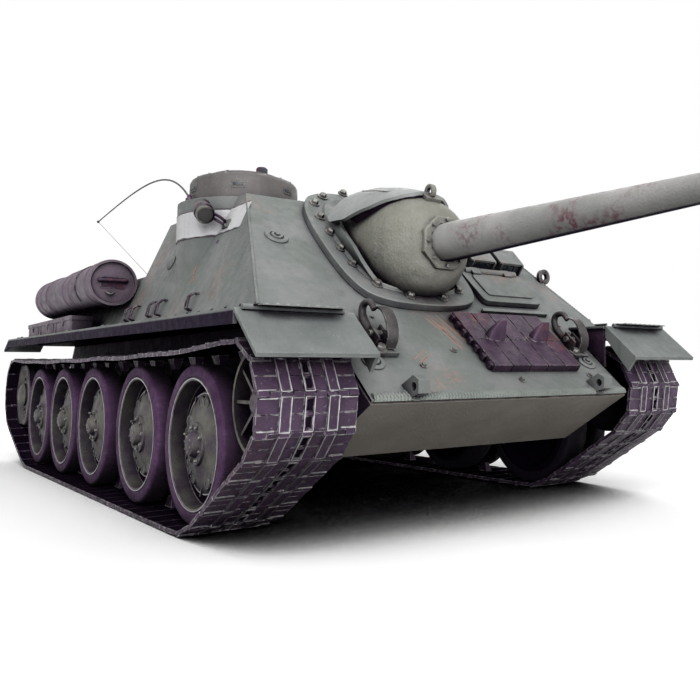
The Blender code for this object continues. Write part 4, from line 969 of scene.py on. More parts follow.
# ======================================================================
# Running gear
# ======================================================================
@dataclass(frozen=True)
class Gear:
    """Sizes that the wheels and tracks share."""

    stations: tuple[float, ...] = (-170.1, -110.6, -46.6, 9.9, 65.8)
    wheel_r: float = 26.17
    wheel_z: float = 28.77
    face: float = 88.4
    width: float = 24.0
    middle: float = 78.125
    idler: tuple[float, float, float] = (-212.8, 43.2, 16.3)
    sprocket: tuple[float, float, float] = (113.9, 39.6, 19.8)
    gap: float = 0.3


GEAR = Gear()


def outward(solid: Solid, side: Side, y: float, z: float, turn: float = 0.0) -> Solid:
    """Lathe shape made on +X at the axle, put on one side: x is mirrored, then it is moved."""
    c, s = math.cos(turn), math.sin(turn)
    x, a, b = solid.points.T
    points = np.stack([side.value * x, y + c * a - s * b, z + s * a + c * b], -1)
    return Solid(points, solid.faces)


@dataclass(frozen=True)
class RoadWheel:
    """Dished disc with a rim, ten lightening holes, a bolted hub and twin tyres."""

    side: Side
    number: int
    rim: float = 21.8
    holes: int = 5
    hub_bolts: int = 8
    # The first line is a near-black ring of painted shade in the dish by the rim.
    lines: tuple[tuple[float, float, float, Finish], ...] = (
        (5.35, 16.95, 20.35, Palette.pit), (4.35, 16.35, 16.7, Palette.bright),
        (0.05, 21.25, 21.6, Palette.bright))

    def disc(self) -> Solid:
        """Turned section of both discs and the hub, from the outer face to the inner one."""
        f, m = GEAR.face, GEAR.middle
        profile = [(f + 1.6, 0.0), (f + 1.5, 1.6), (f + 0.9, 3.4), (f - 0.4, 4.3), (f - 1.0, 4.5),
                   (f - 1.0, 6.9), (f - 1.9, 7.3), (f - 2.5, 8.6), (f - 3.4, 12.5),
                   (f - 4.6, 16.4), (f - 5.6, 17.7), (f - 6.0, 19.2), (f - 5.2, 20.3),
                   (f - 1.2, 20.7), (f - 0.3, 20.8), (f - 0.1, 21.2), (f - 0.4, self.rim),
                   (m + 2.2, self.rim), (m + 2.2, 19.4), (m - 2.2, 19.4), (m - 2.2, self.rim),
                   (f - GEAR.width + 0.4, self.rim), (f - GEAR.width + 0.2, 19.8),
                   (f - GEAR.width + 4.0, 19.0), (f - GEAR.width + 4.4, 8.0),
                   (f - GEAR.width + 0.6, 6.2), (f - GEAR.width + 0.6, 2.9), (f - 5.0, 2.9),
                   (f - 5.0, 0.0)]
        return lathe(profile, "X", steps=80)

    def tyres(self) -> Solid:
        """Two rubber rings with rounded shoulders."""
        f, m, r = GEAR.face, GEAR.middle, GEAR.wheel_r
        spans = ((m + 2.2, f), (f - GEAR.width, m - 2.2))
        rings = []
        for low, high in spans:
            rings.append(lathe([(high - 0.5, self.rim + 0.02), (high, 22.3), (high, 25.1),
                                (high - 0.35, 25.8), (high - 1.1, r), (low + 1.1, r),
                                (low + 0.35, 25.8), (low, 25.1), (low, 22.3),
                                (low + 0.5, self.rim + 0.02)], "X", steps=96, loop=True))
        return stacked(rings)

    def on_disc(self, spots: Sequence[tuple[float, float]], solid: Solid, lift: float) -> Solid:
        """Small solids on the outer disc at (radius, turn) spots, facing outwards."""
        r, t = np.asarray(spots, float).T
        x = GEAR.face + np.interp(r, [4.5, 6.9, 8.6, 12.5, 16.4], [-1.0, -1.0, -2.5, -3.4, -4.6])
        place = np.stack([x + lift, r * np.cos(t), r * np.sin(t)], -1)
        return solid.moved(frames_at(place, np.array([1.0, 0.0, 0.0])))

    def build(self) -> None:
        """Make the disc with its fittings, and the tyres."""
        word = self.side.word
        y, z = GEAR.stations[self.number - 1], GEAR.wheel_z
        turn = 0.37 * self.number + (0.0 if self.side is Side.RIGHT else 0.5)
        count = self.holes
        starts = np.arange(count) * 2 * np.pi / count
        spots = np.concatenate([np.column_stack([np.full(count, 13.6), starts + k])
                                for k in (-0.16, 0.16)])
        collar = lathe([(-0.4, 1.5), (0.35, 1.5), (0.45, 1.8), (0.1, 2.15), (-0.5, 2.2)],
                       steps=16, loop=True)
        # Black disc in each hole: painted shade for the hole's depth.
        hole_shade_disc = lathe([(-0.45, 0.0), (-0.45, 1.5), (0.2, 1.5), (0.2, 0.0)], steps=16)
        bolts = np.arange(self.hub_bolts) * 2 * np.pi / self.hub_bolts
        ring = np.column_stack([np.full(self.hub_bolts, 5.75), bolts])
        cap = np.column_stack([np.full(6, 2.5), np.arange(6) * np.pi / 3])
        ribs = stacked([self.on_disc([(15.2, a)], block((-0.35, -2.4, -0.9), (0.35, 2.4, 0.35)),
                                     0.0)
                        for a in starts + np.pi / count])
        parts = [(self.disc(), Palette.wheel), (self.on_disc(spots, collar, 0.0), Palette.wheel),
                 (self.on_disc(spots, hole_shade_disc, 0.0), Palette.black), (ribs, Palette.wheel),
                 (self.on_disc(ring, bolt(0.62, 0.8, 0.85), 0.0), Palette.steel),
                 (self.on_disc(cap, bolt(0.34, 0.4), 2.05), Palette.steel),
                 (self.on_disc([(5.75, 0.2)], bolt(0.5, 1.3), 0.4), Palette.steel),
                 *[(lathe(box_ring(GEAR.face - deep, GEAR.face - deep - 0.4, low, high), "X",
                          steps=80, loop=True), finish) for deep, low, high, finish in self.lines]]
        parts = [(outward(s, self.side, y, z, turn), f) for s, f in parts]
        node = f"road_wheel_{word}_{self.number}"
        put_together(node + "_disc", parts, node, [node])
        put_together(node + "_tyres", [(outward(self.tyres(), self.side, y, z), Palette.rubber)],
                     node, sharp=40.0)


@dataclass(frozen=True)
class Idler:
    """Front wheel with a thin rim and open spokes."""

    side: Side
    spokes: int = 9

    def build(self) -> None:
        """Rim drums, back disc, spokes and hub, all turned about the idler's axle."""
        y, z, r = GEAR.idler
        m = GEAR.middle
        low, high = m - 9.5, m + 7.875
        rim = lathe([(high, r - 1.3), (high, r - 0.2), (high - 0.3, r), (m + 2.2, r),
                     (m + 2.2, r - 1.3)], "X", steps=80, loop=True)
        inner = lathe([(m - 2.2, r - 1.3), (m - 2.2, r), (low + 0.3, r), (low, r - 0.2),
                       (low, r - 1.3)], "X", steps=80, loop=True)
        back = lathe([(m + 2.6, r - 0.8), (m + 1.4, r - 1.2), (m - 1.4, r - 1.2),
                      (m - 2.6, r - 0.8), (m - 1.0, 4.6), (m + 1.0, 4.6)], "X", steps=64, loop=True)
        hub = lathe([(high + 0.6, 0.0), (high + 0.5, 2.6), (high - 0.4, 3.4), (high - 1.0, 5.0),
                     (high - 2.2, 5.4), (low + 1.0, 5.0), (low, 4.2), (low, 2.9), (high - 3.4, 2.9),
                     (high - 3.4, 0.0)], "X", steps=40)
        angles = np.arange(self.spokes) * 2 * np.pi / self.spokes
        spoke = slab([(-0.55, 4.6), (0.55, 4.6), (0.4, r - 1.0), (-0.4, r - 1.0)], 0.0, 1.0)
        pieces = []
        for a in angles:
            x, radial, depth = spoke.points.T
            c, s = math.cos(a), math.sin(a)
            pts = np.stack([high - 1.1 - depth * 4.0 * (0.3 + 0.7 * radial / r),
                            c * radial - s * x, s * radial + c * x], -1)
            pieces.append(Solid(pts, spoke.faces))
        nuts = np.column_stack([np.full(6, 4.15), np.arange(6) * np.pi / 3])
        base = np.stack([np.full(6, high - 0.9), nuts[:, 0] * np.cos(nuts[:, 1]),
                         nuts[:, 0] * np.sin(nuts[:, 1])], -1)
        studs = bolt(0.5, 0.7).moved(frames_at(base, np.array([1.0, 0.0, 0.0])))
        parts = [(rim, Palette.wheel), (inner, Palette.wheel), (back, Palette.wheel),
                 (hub, Palette.wheel), (stacked(pieces), Palette.wheel), (studs, Palette.steel)]
        node = f"idler_{self.side.word}"
        put_together(node + "_spoked", [(outward(s, self.side, y, z), f) for s, f in parts], node,
                     [node])


@dataclass(frozen=True)
class Sprocket:
    """Rear drive wheel: two discs joined by six rollers, with a bolted hub."""

    side: Side
    rollers: int = 6

    def build(self) -> None:
        """Discs with scalloped rims, rollers, hub and bolts."""
        y, z, r = GEAR.sprocket
        m = GEAR.middle
        t = np.linspace(0.0, 2 * np.pi, 144, endpoint=False)
        rim = r - 0.9 + 0.9 * np.cos(self.rollers * t)
        discs = []
        for low, high in ((m + 5.4, m + 9.6), (m - 9.6, m - 5.4)):
            profile = [(high - 1.4, 0.0), (high - 1.4, 0.42), (high - 2.4, 0.5), (high - 2.4, 0.7),
                       (high, 0.84), (high, 0.97), (high - 0.6, 1.0), (low + 0.6, 1.0),
                       (low, 0.97), (low, 0.0)]
            h, share = np.asarray(profile).T
            pts = np.stack([h[:, None] + 0 * t, share[:, None] * rim * np.cos(t),
                            share[:, None] * rim * np.sin(t)], -1)
            discs.append(grid(pts, wrap_v=True))
        angles = np.arange(self.rollers) * 2 * np.pi / self.rollers
        pins = stacked([tube(np.array([[m - 6.0, 15.5 * math.cos(a), 15.5 * math.sin(a)],
                                       [m + 6.0, 15.5 * math.cos(a), 15.5 * math.sin(a)]]), 2.6, 20)
                        for a in angles])
        hub = lathe([(m + 12.0, 0.0), (m + 11.8, 3.4), (m + 11.0, 5.2), (m + 9.4, 6.8),
                     (m - 11.0, 6.8), (m - 13.0, 6.0), (m - 13.0, 2.9), (m + 8.0, 2.9),
                     (m + 8.0, 0.0)], "X", steps=40)
        spots = np.stack([np.full(12, m + 7.2), 10.6 * np.cos(np.arange(12) * np.pi / 6),
                          10.6 * np.sin(np.arange(12) * np.pi / 6)], -1)
        nuts = bolt(0.8, 1.0, 1.1).moved(frames_at(spots, np.array([1.0, 0.0, 0.0])))
        parts = [(stacked(discs), Palette.wheel), (pins, Palette.iron), (hub, Palette.wheel),
                 (nuts, Palette.steel)]
        node = f"sprocket_{self.side.word}"
        put_together(node + "_rollers", [(outward(s, self.side, y, z), f) for s, f in parts],
                     node, [node])


@dataclass(frozen=True)
class Track:
    """Plate track: rigid links laid as chords along a loop round the wheels, horns on every other
    link.
    """

    side: Side
    pitch: float = 10.85
    thick: float = 2.3
    half: float = 15.6
    inside: float = -0.75
    columns: tuple[float, float] = (-7.6, 7.2)
    column_half: float = 1.55
    teeth: int = 9
    phase: float = 0.0

    def loop(self) -> Array:
        """Pin line round the wheels: arcs about four circles, and a top run that sags.

        Returns:
            Dense (y, z) points, once round, at half the track's thickness.
        """
        deep = self.thick / 2.0
        wheel = GEAR.wheel_r + GEAR.gap + deep
        iy, iz, ir = GEAR.idler
        sy, sz, sr = GEAR.sprocket
        circles = [(GEAR.stations[0], GEAR.wheel_z, wheel),
                   (GEAR.stations[-1], GEAR.wheel_z, wheel),
                   (sy, sz, sr + GEAR.gap + deep - 0.25), (iy, iz, ir + GEAR.gap + deep + 0.3)]
        leave = []
        for (y, z, r), (y2, z2, r2) in zip(circles, circles[1:] + circles[:1]):
            reach = math.hypot(y2 - y, z2 - z)
            leave.append(math.atan2(z2 - z, y2 - y) - math.acos((r - r2) / reach))
        line = []
        for k, (y, z, r) in enumerate(circles):
            start, end = leave[k - 1], leave[k]
            end += 2 * math.pi * math.ceil((start - end) / (2 * math.pi))
            turn = np.linspace(start, end, 60)
            line.append(np.column_stack([y + r * np.cos(turn), z + r * np.sin(turn)]))
            if k == 2:
                line.append(self.top_run(circles[2], circles[3]))
        return np.concatenate(line)

    def top_run(self, rear: Sequence[float], front: Sequence[float]) -> Array:
        """Top run: a straight fall between the wheels, pressed flat by 1 - (2s-1)^4."""
        share = np.linspace(0.03, 0.97, 120)
        rest = GEAR.wheel_z + GEAR.wheel_r + 2.0 + self.thick / 2.0
        high = (rear[1] + rear[2]) * (1 - share) + (front[1] + front[2]) * share
        sag = 1.0 - (2.0 * share - 1.0) ** 4
        droop = 0.28 * np.cos(share * 2 * np.pi * 5.2)
        z = high + (rest - high) * sag + droop * sag
        return np.column_stack([rear[0] + (front[0] - rear[0]) * share, z])

    def pins(self) -> Array:
        """Pin places at equal steps of arc, as many as fit the pitch."""
        line = self.loop()
        line = np.vstack([line, line[:1]])
        travel = np.concatenate([[0.0], np.cumsum(np.linalg.norm(np.diff(line, axis=0), axis=1))])
        count = 2 * round(travel[-1] / self.pitch / 2)
        s = (np.arange(count) + self.phase) * travel[-1] / count % travel[-1]
        return np.column_stack([np.interp(s, travel, line[:, 0]), np.interp(s, travel, line[:, 1])])

    def link(self, step: float, horn: bool) -> Parts:
        """One link in its own space: x along the track, y across it, z outwards."""
        w, e = self.half, step / 2.0
        low, top, raised = self.inside, self.thick / 2.0, self.thick / 2.0 - 0.08
        wide_by = self.column_half
        parts = [block((-e + 1.0, -w, low), (-0.12, w, 0.55)),
                 block((0.12, -w, low), (e - 1.0, w, 0.55)),
                 block((-0.3, -w + 0.3, low + 0.1), (0.3, w - 0.3, 0.2))]
        parts += [block((-e + 0.35, y - half, low + 0.2), (e - 0.35, y + half, raised))
                  for half, spots in ((wide_by, self.columns), (0.3, (-1.3, 1.3))) for y in spots]
        parts += [block((x - 0.4, -1.3, low + 0.2), (x + 0.4, 1.3, raised))
                  for x in (-e + 0.75, 0.0, e - 0.75)]
        wide = 2 * w / self.teeth
        for k in range(self.teeth):
            edge = e if k % 2 == 0 else -e
            y = -w + k * wide
            parts.append(block((edge - 0.95, y + 0.12, low + 0.1),
                               (edge + 0.95, y + wide - 0.12, top - 0.25)))
        if horn:
            base = np.array([(-3.4, -1.9), (3.4, -1.9), (3.4, 1.9), (-3.4, 1.9)])
            spike = slab(base, 0.0, 1.0)
            scale = np.where(spike.points[:, 2:] > 0.5, [[0.42, 0.55, 1.0]], [[1.0, 1.0, 1.0]])
            spike = Solid(spike.points * scale, spike.faces)
            spike.points[:, 2] = np.where(spike.points[:, 2] > 0.5, -4.9, low + 0.1)
            parts.append(spike)
        # Near-black inner face of the link: painted shade.
        inner_face_shade = block((-e + 0.9, -w + 0.3, low - 0.12), (e - 0.9, w - 0.3, low + 0.1))
        lines = [block((-e + 0.5, y + k - 0.13, 0.4), (e - 0.5, y + k + 0.13, top))
                 for y in self.columns for k in (-wide_by, wide_by)]
        lines += [block((-e + 0.5, y - 0.14, 0.4), (e - 0.5, y + 0.14, top)) for y in (-1.45, 1.45)]
        lines += [block((x - 0.12, y - 1.5, 0.4), (x + 0.12, y + 1.5, top))
                  for x in (-e + 0.5, e - 0.5) for y in (self.columns[0], 0.0, self.columns[1])]
        lines += [block((edge - 0.12, y0, 0.2), (edge + 0.12, y1, top - 0.15))
                  for edge, y0, y1 in ((-e + 1.0, -w + 0.4, -10.0), (e - 1.0, -w + 0.4, -10.5),
                                       (-e + 1.0, 9.8, w - 0.5), (e - 1.0, 10.2, w - 0.4))]
        # Near-black recesses in the link: painted shade.
        window_shade = [block((x - 1.5, -0.9, 0.3), (x + 1.5, 0.9, 0.75))
                   for x in (-e / 2 + 0.3, e / 2 - 0.3)]
        return [(stacked(parts), Palette.track), (inner_face_shade, Palette.pit),
                (stacked(lines), Palette.bright),
                (stacked(window_shade), Palette.pit)]

    def build(self) -> None:
        """Lay plain and horned links between the pins."""
        pins = self.pins()
        ahead = np.roll(pins, -1, 0)
        along = ahead - pins
        step = float(np.linalg.norm(along, axis=1).mean())
        along = unit(along)
        middle = (pins + ahead) / 2.0
        frames = np.zeros((len(pins), 4, 4))
        frames[:, 1, 0], frames[:, 2, 0] = along.T
        frames[:, 0, 1] = self.side.value
        frames[:, 1, 2], frames[:, 2, 2] = along[:, 1], -along[:, 0]
        frames[:, 0, 3] = self.side.value * GEAR.middle
        frames[:, 1, 3], frames[:, 2, 3], frames[:, 3, 3] = middle[:, 0], middle[:, 1], 1.0
        plain, horned = self.link(step, False), self.link(step, True)
        node = f"track_{self.side.word}"
        put_together(node + "_links", [(solid.moved(frames[start::2]), finish)
                                       for start, link in ((0, plain), (1, horned))
                                       for solid, finish in link],
                     "root", [node])


@dataclass(frozen=True)
class RunningGear:
    """Wheels, arms and tracks of both sides."""

    def build(self) -> None:
        """Build each side in order."""
        for side in Side:
            for number in range(1, len(GEAR.stations) + 1):
                RoadWheel(side, number).build()
                refined(f"swing_arm_{side.word}_{number}", Palette.iron, 0.3)
            Idler(side).build()
            Sprocket(side).build()
            Track(side).build()
            refined(f"idler_axle_{side.word}", Palette.iron, 0.3)


# ======================================================================
# Gun and its mount
# ======================================================================
@dataclass(frozen=True)
class GunMount:
    """Bolted frame on the front plate, with a cast collar that rises to the mantlet."""

    half: float = 29.6
    low_y: float = -196.2
    high_y: float = -135.2
    neck: float = 22.4
    wall: float = 1.5
    bolts: tuple[tuple[float, float], ...] = (
        (-13.0, -134.9), (-25.4, -139.6), (-32.0, -144.9), (-34.0, -153.4), (-34.4, -162.3),
        (-34.6, -170.8), (-34.0, -178.6), (-29.8, -188.2), (-18.6, -192.9))

    def outline(self, count: int = 144, inset: float = 0.0) -> Array:
        """Rounded eight-sided outline by turn, as seen from the gun's axis.

        Args:
            count: Points round it.
            inset: Distance moved inwards.

        Returns:
            (x, along) points whose turns match `mouth`'s.
        """
        gx = SHAPE.gun[0]
        h = self.half - inset
        low, high = SHAPE.up(self.low_y) + inset, SHAPE.up(self.high_y) - inset
        corner = np.array([(gx - 0.62 * h, low), (gx + 0.62 * h, low), (gx + h, low + 11.0),
                           (gx + h, high - 20.0), (gx + 0.62 * h, high), (gx - 0.62 * h, high),
                           (gx - h, high - 20.0), (gx - h, low + 11.0)])
        for share in (0.24, 0.25, 0.25):
            ahead = np.roll(corner, -1, 0)
            corner = np.stack([corner * (1 - share) + ahead * share,
                               corner * share + ahead * (1 - share)], 1).reshape(-1, 2)
        centre = self.centre()
        dense = np.concatenate([corner + (np.roll(corner, -1, 0) - corner) * k / 8
                                for k in range(8)])
        turn = np.arctan2(*(dense - centre).T)
        order = np.argsort(turn)
        turn, reach = turn[order], np.linalg.norm(dense - centre, axis=1)[order]
        want = np.arctan2(*(self.mouth(count) - centre).T)
        r = np.interp(want, turn, reach, period=2 * np.pi)
        return centre + np.column_stack([r * np.sin(want), r * np.cos(want)])

    def centre(self) -> Array:
        """Where the gun's axis meets the front plate, as (x, along)."""
        rise = SHAPE.gun[2] - SHAPE.nose[1]
        return np.array([SHAPE.gun[0], rise / math.sin(SHAPE.glacis)])

    def mouth(self, count: int, radius: float = 22.4) -> Array:
        """Round bore of the gun's axis as it cuts the sloped plate: an ellipse."""
        t = np.linspace(0.0, 2 * np.pi, count, endpoint=False)
        return self.centre() + np.column_stack([radius * np.sin(t),
                                                radius * np.cos(t) / math.sin(SHAPE.glacis)])

    def rim(self, count: int, radius: float) -> Array:
        """Rim of the collar: a circle about the gun's axis, whose station follows the turn."""
        t = np.linspace(0.0, 2 * np.pi, count, endpoint=False)
        y = -173.0 + np.where(np.cos(t) > 0, 26.2, 19.5) * np.cos(t) - 8.6 * np.sin(t) ** 2
        y = np.where(np.cos(t) > 0.45, np.maximum(y, -168.5), y)
        return np.column_stack([SHAPE.gun[0] + radius * np.sin(t), y,
                                SHAPE.gun[2] + radius * np.cos(t)])

    def build(self) -> None:
        """Frame and collar as one ring of rows from the outer edge to the bore."""
        count = 144
        flat = np.zeros(count)

        def row(edge: Array, off: float) -> Array:
            return SHAPE.front(edge[:, 0], edge[:, 1], flat + off)

        outer, top = self.outline(), self.outline(inset=0.35)
        step, root = self.outline(inset=6.2), self.outline(inset=6.9)
        rim = self.rim(count, self.neck + self.wall)
        foot = row(root, 4.2)
        high = np.clip(np.cos(np.linspace(0.0, 2 * np.pi, count, endpoint=False)), 0.0,
                       1.0)[:, None]
        sag = np.array([0.0, 0.0, -1.7]) * high
        rim = rim + 0.45 * sag
        cone = [foot * (1 - k) + rim * k + 3.2 * k * (1 - k) * sag for k in (0.2, 0.45, 0.7, 0.9)]
        cone = [c + 0.22 * ripple(c, 5.0, 11)[:, None] for c in cone]
        rows = [row(self.mouth(count), 0.4), row(outer, 0.4), row(outer, 2.8), row(top, 3.1),
                row(step, 3.1), foot, *cone, rim, self.rim(count, self.neck),
                row(self.mouth(count), 1.0)]
        frame_plate = grid(np.stack(rows), wrap_u=True, wrap_v=True)
        gx = SHAPE.gun[0]
        spots = [(x, SHAPE.up(y)) for x, y in self.bolts]
        spots += [(2 * gx - x, b) for x, b in spots if abs(x - gx) > 4]
        heads = set_on(bolt(1.45, 2.1, 2.15), SHAPE.front, spots, 0.4, 3.05)
        put_together("gun_mount_frame_cast",
                     [(frame_plate, Palette.armour), (heads, Palette.steel)],
                     stands_for=["gun_mount_frame"], sharp=26.0)


@dataclass(frozen=True)
class Mantlet:
    """Cast gun shield with its hood, lifting eye, nose flange and bolts."""

    radius: float = 20.0
    nose: float = 33.0
    flange: float = 10.4
    hood_rear: float = -9.5
    hood_length: float = 34.0
    hood_section: tuple[tuple[float, float], ...] = (
        (-9.5, 27.4), (0.0, 26.8), (10.0, 24.9), (18.0, 22.7), (24.5, 20.6))
    hood_spread: tuple[tuple[float, float], ...] = (
        (0.0, 60.0), (0.1, 66.0), (0.35, 66.0), (0.65, 53.0), (0.88, 35.0), (1.0, 20.0))

    def at(self, radius: Array, turn: Array, ahead: Array) -> Array:
        """Point about the gun's axis: turn from straight up, `ahead` of the trunnion."""
        gx, gy, gz = SHAPE.gun
        return np.stack([gx + radius * np.sin(turn), gy - ahead + 0.0 * radius,
                         gz + radius * np.cos(turn)], -1)

    def section(self, ahead: Array) -> Array:
        """Radius at a station: full to 15 mm ahead, then a quarter ellipse to the flange."""
        share = np.clip((ahead - 14.0) / (self.nose - 14.0), 0.0, 1.0)
        fall = 1.0 - np.sqrt(1.0 - (0.985 * share) ** 2)
        return self.radius - (self.radius - 9.3) * fall * 1.18

    def shell(self) -> Solid:
        """Slightly squared casting with an uneven skin, hollow behind the trunnion."""
        ahead = np.concatenate([np.linspace(-16.0, 12.0, 8), 14.0 + 19.0 * np.sin(
            np.linspace(0.05, np.pi / 2, 22))])
        t = np.linspace(0.0, 2 * np.pi, 120, endpoint=False)
        s, turn = np.meshgrid(ahead, t, indexing="ij")
        square = (np.abs(np.cos(turn)) ** 2.3 + np.abs(np.sin(turn)) ** 2.3) ** (-1 / 2.3)
        radius = self.section(s) * (1.0 + (square - 1.0) * 0.5)
        chin = np.exp(-((s - 20.0) / 9.0) ** 2) * np.clip(-np.cos(turn), 0, 1) ** 2
        radius = radius + 0.15 * chin
        skin = self.at(radius, turn, s)
        skin += (0.16 * ripple(skin, 3.4, 5) + 0.12 * ripple(skin, 1.3, 6))[..., None] \
            * unit(skin - np.array([SHAPE.gun[0], SHAPE.gun[1] - 8.0, SHAPE.gun[2]]))
        back = [self.at(np.full(120, r), t, np.full(120, a))
                for r, a in ((16.8, -16.0), (16.8, 8.0), (7.4, 22.0))]
        last = self.at(np.full(120, 7.35), t, np.full(120, self.nose + 1.0))
        return grid(np.stack([*skin, last, *back[::-1]]), wrap_u=True, wrap_v=True)

    def hood(self, inset: float = 0.0) -> Solid:
        """Curved visor: its radius falls and its spread narrows from the rear to the eye.

        Args:
            inset: 0 for the visor; 1 for the block that fills the space under it, its dark iron a
                painted shade under the visor.

        Returns:
            The visor or its filling.
        """
        u = np.linspace(0.0, 1.0, 26)
        ahead = self.hood_rear + 11.5 * inset + u * (self.hood_length - 12.5 * inset)
        u = (ahead - self.hood_rear) / self.hood_length
        outer = np.interp(ahead, *np.array(self.hood_section).T) - 1.4 * inset
        spread = np.radians(np.interp(u, *np.array(self.hood_spread).T) - 5.0 * inset)
        v = np.linspace(-1.0, 1.0, 41)
        turn = spread[:, None] * v
        far, near = (self.at(r[:, None] + 0.0 * turn, turn, ahead[:, None] + 0.0 * turn)
                     for r in (outer, outer - 1.3 if not inset else 0.0 * outer + 17.5))
        far += 0.05 * ripple(far, 7.0, 9)[..., None]
        return loft(np.concatenate([far, near[:, ::-1]], 1))

    def eye(self) -> Solid:
        """Lifting eye on a pad at the front of the hood."""
        gx, gy, gz = SHAPE.gun
        y, z = gy - 25.5, gz + 20.6
        ring = lathe([(-0.75, 1.4), (0.75, 1.4), (1.0, 1.9), (0.75, 2.9), (-0.75, 2.9),
                      (-1.0, 2.4)],
                     "X", (gx, y, z), 28, loop=True)
        pad = slab([(-3.4, -3.2), (3.4, -3.2), (2.2, 3.4), (-2.2, 3.4)], -1.6, 1.0)
        base = frames_at(np.array([[gx, y + 0.6, z - 2.2]]), np.array([0.0, -0.54, 0.84]))
        return stacked([ring, pad.moved(base)])

    def build(self) -> None:
        """Shield, flange with its bolts, hood and eye."""
        gx, gy, gz = SHAPE.gun
        r = self.flange
        front = lathe([(gy - 30.5, 7.4), (gy - 30.5, r - 0.2), (gy - 31.5, r), (gy - 34.8, r),
                       (gy - 35.4, r - 0.6), (gy - 35.4, 7.4)], "Y", (gx, 0.0, gz), 8, loop=True)
        c, s = math.cos(math.pi / 8), math.sin(math.pi / 8)
        x, z = front.points[:, 0] - gx, front.points[:, 2] - gz
        front.points[:, 0], front.points[:, 2] = gx + c * x - s * z, gz + s * x + c * z
        a = (np.arange(8) + 0.0) * np.pi / 4
        spots = np.column_stack([gx + 8.55 * np.cos(a), np.full(8, gy - 35.3),
                                 gz + 8.55 * np.sin(a)])
        heads = bolt(0.72, 0.9).moved(frames_at(spots, np.array([0.0, -1.0, 0.0])))
        seam_t = np.linspace(0.0, 2 * np.pi, 60)
        ring = self.at(np.full(60, 10.0), seam_t, np.full(60, 30.6))
        rib = weld_seam(curve_through([(gx - 16.5, gy - 4.0, gz + 22.5),
                                       (gx - 12.0, gy - 12.0, gz + 21.6),
                                       (gx - 7.5, gy - 20.0, gz + 19.4)], 30), 0.28, 1.4)
        put_together("mantlet_cast", [(self.shell(), Palette.casting), (front, Palette.casting),
                                      (heads, Palette.steel), (weld_seam(ring, 0.55, 1.5),
                                                               Palette.casting),
                                      (rib, Palette.casting)],
                     "mantlet", ["mantlet"], sharp=40.0)
        # The dark iron filling under the visor is painted shade and also stops the view through.
        put_together("mantlet_hood", [(self.hood(), Palette.hood), (self.hood(1.0), Palette.iron),
                                      (self.eye(), Palette.casting)],
                     "mantlet", sharp=40.0)


@dataclass(frozen=True)
class Gun:
    """Gun tube: stepped taper, a ring at the muzzle and a dark bore."""

    def build(self) -> None:
        """Turned tube on the recoiling body."""
        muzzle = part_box("gun_barrel")[0].y / MM - SHAPE.shift
        gx, gy, gz = SHAPE.gun
        profile = [(gy - 20.0, 0.0), (gy - 20.0, 7.0), (gy - 44.0, 7.0), (gy - 44.6, 6.86),
                   (gy - 62.0, 6.45), (gy - 62.3, 6.36), (-275.0, 5.18), (-318.0, 3.92),
                   (-319.0, 3.85), (muzzle + 12.6, 3.85), (muzzle + 12.0, 4.3),
                   (muzzle + 0.5, 4.35),
                   (muzzle, 4.0), (muzzle, 2.95), (muzzle + 0.4, 2.9), (muzzle + 40.0, 2.9),
                   (muzzle + 40.0, 0.0)]
        tube_body = lathe(profile, "Y", (gx, 0.0, gz), 64)
        put_together("gun_tube", [(tube_body, Palette.tube_paint)], "gun_barrel",
                     ["gun_barrel"], sharp=40.0)
        keep_node("gun_cradle", Palette.iron)
        keep_node("elevation_servo", Palette.black)


